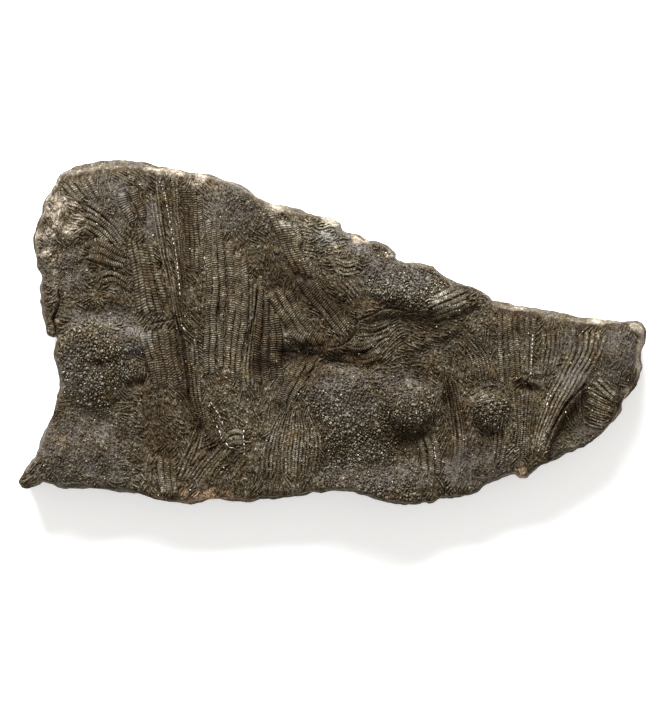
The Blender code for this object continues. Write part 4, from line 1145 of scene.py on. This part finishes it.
class Bed:
    """The ground that strands and grains are laid on: what is taken, and the heading of the fibres."""

    def __init__(self, slab):
        self.taken = Grid(CELL, margin=1.0)
        points = self.taken.points
        self.taken.fill((slab.depth.at(points) < 0.35) | (slab.crack.at(points) > 0.3))
        self.heading = Grid(HEADING_STEP)
        points = self.heading.points
        feather = 0.7 * np.tanh(5.0 * slab.drawn_noise(points, 0.35, 4.2, 160.0))
        self.heading.fill(slab.flow(points) + feather + 0.5 * noise_at(points, 7.0, 150.0))

    def narrow(self, gap):
        """Sets how wide a strip later lines cover."""
        reach = round(gap / CELL)
        span = range(-reach, reach + 1)
        disc = [(i, j) for i in span for j in span if (i * i + j * j) * CELL * CELL < gap * gap]
        self.rows, self.columns = np.array(disc).T

    def free(self, x, y):
        """Tells whether nothing lies at a spot yet."""
        return not self.taken.values[self.taken.nearest(x, y)]

    def take(self, line):
        """Marks the ground round a line as covered."""
        for x, y in line:
            row, column = self.taken.nearest(x, y)
            self.taken.values[self.rows + row, self.columns + column] = 1.0

    def claim(self, x, y):
        """Takes a spot if it is free, and tells whether it was."""
        free = self.free(x, y)
        if free:
            self.take([(x, y)])
        return free

    def walk(self, x, y, steps, turn):
        """Returns the spots that a walk along the flow passes before it is blocked."""
        grid = self.heading
        spots = []
        heading = grid.values[grid.nearest(x, y)] + turn
        for _ in range(steps):
            change = (grid.values[grid.nearest(x, y)] - heading + 0.5 * np.pi) % np.pi - 0.5 * np.pi
            heading += change
            x += LINE_STEP * np.cos(heading)
            y += LINE_STEP * np.sin(heading)
            if not self.free(x, y):
                break
            spots.append((x, y))
        return spots

    def lay(self, starts, steps, least):
        """Returns the lines that find room, tried from each start in turn."""
        lines = []
        for (x, y), reach in zip(starts, steps):
            if not self.free(x, y):
                continue
            line = self.walk(x, y, reach, np.pi)[::-1] + [(x, y)] + self.walk(x, y, reach, 0.0)
            if len(line) >= least:
                self.take(line)
                lines.append(np.array(line))
        return lines


def strand_body(slab, line, kind, rng):
    """Makes one beaded thread, or a broken scrap of one."""
    lift = rng.uniform(*kind.lift)
    half_width = rng.uniform(*kind.half_width)
    count = len(line)
    taper = swelling(count, 0.5)
    bead = np.where(np.arange(count) % 2 == 0, 1.0, 0.72) * rng.uniform(0.8, 1.12, count)
    half_width = half_width * taper * rng.uniform(0.75, 1.2, count)
    height = lift * taper * bead - 0.15 * (1.0 - taper)
    points, faces, upward = swept(slab, line, half_width, height, PINNULE_SECTION, sink=PINNULE_SINK)
    # Painted highlight along the strand's crest and on its raised beads, painted shade down its flanks; the
    # rest is random tone.
    tone = 0.5 * (upward - 0.6) + rng.uniform(-0.15, 0.1)
    tone += np.repeat(0.9 * (bead - 0.88), len(PINNULE_SECTION) + 1)
    return points, faces, slab.tints(points[:, :2], tone)


def lay_strands(slab, bed, kind, starts, rng):
    """Lays strands of one kind where they find room, and returns their bodies."""
    bed.narrow(kind.gap)
    lines = bed.lay(starts, rng.integers(*kind.steps, len(starts)), kind.least)
    return [strand_body(slab, line, kind, rng) for line in lines]


def make_mats(slab, bed, material):
    """Makes the pinnules that mat the ground between the arms, and the broken scraps among them."""
    rng = np.random.default_rng(SEED + 1)
    starts = rng.permutation(staggered(MAT_STEP))
    border = unit(2.0 - 2.0 * slab.cover.blurred(1.5).at(starts))
    bare = unit(1.0 - 0.8 * slab.mud.at(starts) - 0.9 * slab.pale.at(starts))
    open_ground = unit(bare - slab.grainy.at(starts)) ** 3
    covered = slab.cover.at(starts) > 0.5
    chosen = starts[rng.random(len(starts)) < np.where(covered, 0.02 + 0.3 * border, open_ground)]
    bodies = lay_strands(slab, bed, PINNULE, chosen, rng)
    bed.heading.fill(bed.heading.values.ravel() + 1.6 * noise_at(bed.heading.points, 0.9, 190.0))
    chosen = starts[~covered & (rng.random(len(starts)) < 0.02 + 0.33 * open_ground)]
    bodies += lay_strands(slab, bed, SCRAP, chosen, rng)
    bodies.sort(key=lambda body: body[0][0, 0])
    share = -(-len(bodies) // len(MAT_PIECES))
    for piece, name in enumerate(MAT_PIECES):
        make_object(name, joined(bodies[piece * share:(piece + 1) * share]), material)


def grit_spots(slab, bed, rng):
    """Returns where the grains lie, largest first, and their radii."""
    starts = rng.permutation(staggered(GRIT_STEP))
    starts += rng.uniform(-0.12, 0.12, starts.shape)
    muddy = 0.8 * slab.mud.at(starts) * (1.0 - 0.5 * slab.nodule.at(starts))
    chance = np.where(slab.cover.at(starts) > 0.5, 0.03, 1.0 - 0.6 * slab.pale.at(starts) - muddy)
    spots = []
    radii = []
    for size in GRIT_SIZES:
        bed.narrow(size.gap)
        picked = starts[rng.random(len(starts)) < size.share * chance]
        claimed = [spot for spot in picked if bed.claim(*spot)]
        spots += claimed
        radii += list(rng.uniform(size.low, size.high, len(claimed)))
    spots = np.array(spots)
    return spots, np.array(radii) * (1.0 + 0.2 * slab.nodule.at(spots))


def make_grit(slab, bed, material):
    """Makes the rounded grit that fills the open ground and studs the nodules."""
    rng = np.random.default_rng(SEED + 2)
    spots, radius = grit_spots(slab, bed, rng)
    count = len(spots)
    size = 2 * GRIT_SIDES + 1
    turns = np.arange(GRIT_SIDES) * 2.0 * np.pi / GRIT_SIDES
    angles = rng.uniform(0.0, 2.0 * np.pi, count)[:, None] + turns
    reach = radius[:, None] * rng.uniform(0.6, 1.4, (count, GRIT_SIDES))
    corners = np.stack([reach * np.cos(angles), reach * np.sin(angles)], axis=2)
    ground = slab.bare.at(spots)[:, None]
    height = (radius * rng.uniform(0.3, 1.0, count) + 0.08)[:, None]
    low, high, top = slice(GRIT_SIDES), slice(GRIT_SIDES, -1), slice(-1, None)
    points = np.zeros((count, size, 3))
    points[:, low, :2] = spots[:, None, :] + corners
    points[:, low, 2] = ground - GRIT_ROOT
    points[:, high, :2] = spots[:, None, :] + 0.72 * corners
    points[:, high, 2] = ground + height * rng.uniform(0.35, 0.85, (count, GRIT_SIDES))
    points[:, -1, :2] = spots + rng.uniform(-0.06, 0.06, (count, 2))
    points[:, top, 2] = ground + height
    tone = np.zeros((count, size))
    # Painted shade at each grain's base and painted highlight at its tip.
    for part, part_tone in zip((low, high, top), GRIT_PAINTED_SHADING):
        tone[:, part] = part_tone
    tone += rng.uniform(-0.36, 0.26, (count, 1))
    faces = []
    for start in range(0, count * size, size):
        ring = list(range(start, start + GRIT_SIDES))
        faces.append(ring[::-1])
        for a, b in pairs(ring):
            faces.append([a, b, b + GRIT_SIDES, a + GRIT_SIDES])
            faces.append([a + GRIT_SIDES, b + GRIT_SIDES, start + 2 * GRIT_SIDES])
    points = points.reshape(-1, 3)
    make_object("grit", (points, faces, slab.tints(points[:, :2], tone.ravel())), material, smooth=False)


def make_threads(slab, material):
    """Makes the broken threads of white calcite: uneven slivers in a row."""
    rng = np.random.default_rng(SEED + 3)
    bodies = []
    for line in THREADS:
        centre = jittered(spline(line, max(6, round(line_length(line) / THREAD_STEP))), 0.1, 0.9, 700.0)
        start = 0
        while start < len(centre) - 3:
            size = int(rng.integers(3, 6))
            sliver = centre[start:start + size]
            start += size - 1 + int(rng.choice([0, 1, 1, 2, 4]))
            if len(sliver) < 3:
                break
            swell = swelling(len(sliver), 0.6)
            half_width = rng.uniform(0.08, 0.24) * swell
            height = 0.35 + rng.uniform(0.25, 0.42) * swell
            points, faces, _ = swept(slab, sliver, half_width, height, PINNULE_SECTION)
            bodies.append((points, faces, {"tone": np.full(len(points), rng.uniform(-0.5, 0.25))}))
    make_object("calcite_threads", joined(bodies), material)


def make_flecks(slab, material):
    """Makes tiny bright grains of calcite and pyrite, thickest on the nodules and in clusters."""
    rng = np.random.default_rng(SEED + 4)
    spots = np.column_stack([rng.uniform(0.0, side, FLECK_TRIES) for side in (LENGTH, WIDTH)])
    spots = spots[slab.within(spots, 0.8)]
    chance = 0.03 + 0.2 * slab.nodule.at(spots) + 0.25 * unit(noise_at(spots, 5.0, 600.0))
    spots = spots[rng.random(len(spots)) < chance][:FLECK_COUNT]
    corners = np.array(FLECK_CORNERS, dtype=float)
    waist = pairs([0, 1, 2, 3])
    faces = [[a, b, 4] for a, b in waist] + [[b, a, 5] for a, b in waist]
    bodies = []
    for (x, y), ground in zip(spots, slab.bare.at(spots)):
        spin = rng.uniform(0.0, np.pi)
        turn = np.array([[np.cos(spin), np.sin(spin), 0], [-np.sin(spin), np.cos(spin), 0], [0, 0, 1]])
        size = rng.uniform(0.09, 0.2) * rng.uniform(0.6, 1.4, (len(corners), 1))
        points = (corners @ turn) * size + (x, y, ground + rng.uniform(0.3, 0.6))
        bodies.append((points, faces, {"tone": np.full(len(corners), rng.uniform(-0.5, 0.5))}))
    make_object("bright_flecks", joined(bodies), material, smooth=False)


class Graph:
    """A material's nodes, added one call at a time."""

    def __init__(self, name):
        self.material = bpy.data.materials.new(name)
        self.material.use_nodes = True
        self.tree = self.material.node_tree
        self.shader = self.tree.nodes["Principled BSDF"]

    def put(self, node, sockets):
        """Links or sets a node's sockets."""
        for name, value in sockets.items():
            if isinstance(value, bpy.types.NodeSocket):
                self.tree.links.new(value, node.inputs[name])
            else:
                node.inputs[name].default_value = value

    def add(self, kind, sockets, **settings):
        """Adds a node with its sockets and settings."""
        node = self.tree.nodes.new(kind)
        for setting, value in settings.items():
            setattr(node, setting, value)
        self.put(node, sockets)
        return node

    def surface(self, sockets):
        """Links or sets the shader's own sockets, and returns the finished material."""
        self.put(self.shader, sockets)
        return self.material

    def channel(self, name):
        """Reads one of the mesh's own channels."""
        return self.add("ShaderNodeAttribute", {}, attribute_name=name).outputs["Fac"]

    def math(self, operation, *values, clamp=False):
        """Combines numbers."""
        sockets = dict(enumerate(values))
        return self.add("ShaderNodeMath", sockets, operation=operation, use_clamp=clamp).outputs[0]

    def mix(self, share, first, second, blend="MIX"):
        """Mixes two colours, or multiplies the first by a share of the second."""
        node = self.add("ShaderNodeMix", {0: share, 6: first, 7: second}, data_type="RGBA", blend_type=blend)
        return node.outputs[2]

    def noise(self, size_mm, detail=3.0, layer=0.0):
        """Returns noise whose lumps are about a size in millimetres."""
        place = self.add("ShaderNodeTexCoord", {}).outputs["Object"]
        moved = self.add("ShaderNodeVectorMath", {0: place, 1: (0.0, 0.0, layer)}, operation="ADD")
        scale = 1.0 / (size_mm * METRES_PER_MILLIMETRE)
        node = self.add("ShaderNodeTexNoise", {"Vector": moved.outputs[0], "Scale": scale, "Detail": detail})
        return node.outputs["Fac"]

    def ramp(self, value, stops):
        """Turns a number into a colour."""
        node = self.add("ShaderNodeValToRGB", {"Fac": value})
        elements = node.color_ramp.elements
        while len(elements) < len(stops):
            elements.new(0.5)
        for element, (position, colour) in zip(elements, stops):
            element.position = position
            element.color = (*colour, 1.0)
        return node.outputs["Color"]

    def scaled(self, value, low, high):
        """Turns a number from 0 to 1 into one from low to high."""
        return self.add("ShaderNodeMapRange", {"Value": value, "To Min": low, "To Max": high}).outputs[0]

    def bumps(self, height, strength, depth_mm):
        """Returns the shader's normal with fine bumps."""
        sockets = {"Height": height, "Strength": strength, "Distance": depth_mm * METRES_PER_MILLIMETRE}
        return self.add("ShaderNodeBump", sockets).outputs[0]


# Colour ramps, from the darkest tone to the palest: painted shade in the pits falls at the dark end and
# painted highlight on the crests at the pale end.
BROWN = [(0.0, (0.013, 0.007, 0.002)), (0.28, (0.037, 0.023, 0.009)), (0.5, (0.070, 0.055, 0.031)),
         (0.72, (0.139, 0.122, 0.087)), (1.0, (0.44, 0.41, 0.35))]
GREY = [(0.0, (0.030, 0.023, 0.016)), (0.3, (0.060, 0.048, 0.036)), (0.5, (0.091, 0.079, 0.064)),
        (0.75, (0.142, 0.130, 0.113)), (1.0, (0.22, 0.209, 0.190))]
CREAM = [(0.0, (0.08, 0.065, 0.045)), (0.45, (0.30, 0.255, 0.19)), (1.0, (0.80, 0.75, 0.65))]
RUST = [(0.0, (0.08, 0.045, 0.02)), (0.45, (0.25, 0.155, 0.09)), (1.0, (0.58, 0.42, 0.28))]
CALCITE = [(0.2, (0.26, 0.22, 0.16)), (0.55, (0.56, 0.52, 0.44)), (0.9, (0.86, 0.83, 0.76))]
FLECKS = [(0.2, (0.22, 0.19, 0.13)), (0.5, (0.38, 0.34, 0.27)), (0.85, (0.72, 0.68, 0.59))]
RUSTY_TINT = (1.06, 0.94, 0.76, 1.0)
# The stone's mottling: the lumps' size in millimetres, the noise's layer and the strength.
STONE_NOISES = ((9.0, 0.1, 0.2), (1.6, 0.2, 0.3), (0.6, 0.3, 0.95), (0.3, 0.4, 1.35))


def stone_material():
    """Dark fossil shale: brown, with greyer mud and pale broken ground."""
    graph = Graph("shale_stone")
    # The tone channel carries painted shade and painted highlight as well as the stone's own tone.
    value = graph.math("MULTIPLY_ADD", graph.channel("tone"), 0.5, 0.5)
    for size, layer, strength in STONE_NOISES:
        wave = graph.math("SUBTRACT", graph.noise(size, layer=layer), 0.5)
        value = graph.math("MULTIPLY_ADD", wave, strength, value)
    mottle = graph.math("MULTIPLY_ADD", graph.noise(2.6, layer=0.6), 1.6, -0.75)
    mud = graph.math("ADD", graph.channel("mud"), mottle, clamp=True)
    rusty = graph.math("MULTIPLY_ADD", graph.noise(4.5, layer=0.9), 4.0, -1.9, clamp=True)
    brown = graph.mix(rusty, graph.ramp(value, BROWN), RUSTY_TINT, "MULTIPLY")
    stone = graph.mix(mud, brown, graph.ramp(value, GREY))
    pale = graph.mix(graph.channel("orange"), graph.ramp(value, CREAM), graph.ramp(value, RUST))
    fine = graph.noise(0.34, detail=4.0, layer=0.7)
    coarse = graph.noise(0.9, detail=2.0, layer=0.8)
    grain = graph.math("ADD", fine, coarse)
    return graph.surface({
        "Base Color": graph.mix(graph.channel("pale"), stone, pale),
        "Roughness": graph.scaled(graph.noise(0.7, layer=0.5), 0.45, 0.95),
        "Specular IOR Level": 0.14, "Normal": graph.bumps(grain, 0.8, 0.3)})


def calcite_material():
    """White calcite, slightly waxy."""
    graph = Graph("calcite")
    value = graph.math("MULTIPLY_ADD", graph.channel("tone"), 0.5, graph.noise(0.6))
    return graph.surface({"Base Color": graph.ramp(value, CALCITE), "Roughness": 0.42,
                          "Normal": graph.bumps(graph.noise(0.2), 0.4, 0.08)})


def fleck_material():
    """Bright mineral flecks, from dull gold pyrite to pale calcite."""
    graph = Graph("mineral_flecks")
    value = graph.math("MULTIPLY_ADD", graph.channel("tone"), 0.8, graph.noise(0.5))
    return graph.surface({"Base Color": graph.ramp(value, FLECKS), "Metallic": 0.25,
                          "Roughness": graph.scaled(graph.noise(0.3), 0.2, 0.5)})


def floor_material():
    """Plain white paint, lit a little from below to soften the slab's shadow."""
    return Graph("floor_paint").surface({
        "Base Color": (0.93, 0.93, 0.925, 1.0), "Roughness": 0.9,
        "Emission Color": (0.98, 0.99, 1.0, 1.0), "Emission Strength": 0.42})


def make_floor():
    """Lays the floor just under the slab."""
    bpy.ops.mesh.primitive_plane_add(size=3.0, location=(0.0, 0.0, -0.0002))
    floor = bpy.context.object
    floor.name = "floor"
    floor.data.materials.append(floor_material())


def make_light(name, location, size, power, colour):
    """Adds a soft area light that looks at the slab."""
    data = bpy.data.lights.new(name, "AREA")
    data.size = size
    data.energy = power
    data.color = colour
    light = linked(name, data)
    light.location = location
    light.rotation_euler = (Vector((0.0, 0.0, 0.01)) - light.location).to_track_quat("-Z", "Y").to_euler()


def make_camera():
    """Looks straight down at the fossil face."""
    data = bpy.data.cameras.new("camera")
    data.sensor_fit = "HORIZONTAL"
    field = PHOTO_WIDTH * MILLIMETRES_PER_PIXEL * METRES_PER_MILLIMETRE
    data.lens = data.sensor_width * CAMERA_DISTANCE / field
    camera = linked("camera", data)
    x = (CAMERA_SPOT[0] - 0.5 * LENGTH) * METRES_PER_MILLIMETRE
    y = (CAMERA_SPOT[1] - 0.5 * WIDTH) * METRES_PER_MILLIMETRE
    camera.location = (x, y, CAMERA_SPOT[2] * METRES_PER_MILLIMETRE + CAMERA_DISTANCE)
    bpy.context.scene.camera = camera


def make_studio():
    """Sets the floor, the soft lights, the pale surroundings and the camera."""
    make_floor()
    make_light("key", (-0.16, 0.68, 0.42), 0.45, 21.4, (0.975, 0.98, 1.0))
    make_light("fill", (0.1, -0.2, 0.8), 0.9, 1.0, (1.0, 0.985, 0.96))
    world = bpy.data.worlds.new("surroundings")
    world.use_nodes = True
    background = world.node_tree.nodes["Background"].inputs
    background["Color"].default_value = (1.0, 0.97, 0.92, 1.0)
    background["Strength"].default_value = 0.42
    bpy.context.scene.world = world
    bpy.context.scene.view_settings.view_transform = "Standard"
    make_camera()


def plain_box():
    """Returns the whole object's box as plain lists."""
    return [[float(value) for value in corner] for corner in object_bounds()]


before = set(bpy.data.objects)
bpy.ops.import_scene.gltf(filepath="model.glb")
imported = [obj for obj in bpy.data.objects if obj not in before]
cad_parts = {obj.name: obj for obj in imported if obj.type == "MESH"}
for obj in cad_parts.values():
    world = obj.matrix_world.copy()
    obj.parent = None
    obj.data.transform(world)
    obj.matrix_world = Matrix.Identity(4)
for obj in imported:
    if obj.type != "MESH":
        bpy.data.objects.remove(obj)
cad_box = plain_box()
CAD_LOW, CAD_HIGH = (np.array(corner) for corner in cad_box)

stone = stone_material()
the_slab = Slab()
make_slab(the_slab, stone)
for arm_group in ("left", "centre", "right"):
    make_arms(the_slab, arm_group, stone)
the_bed = Bed(the_slab)
make_mats(the_slab, the_bed, stone)
make_grit(the_slab, the_bed, stone)
make_threads(the_slab, calcite_material())
make_flecks(the_slab, fleck_material())
make_studio()
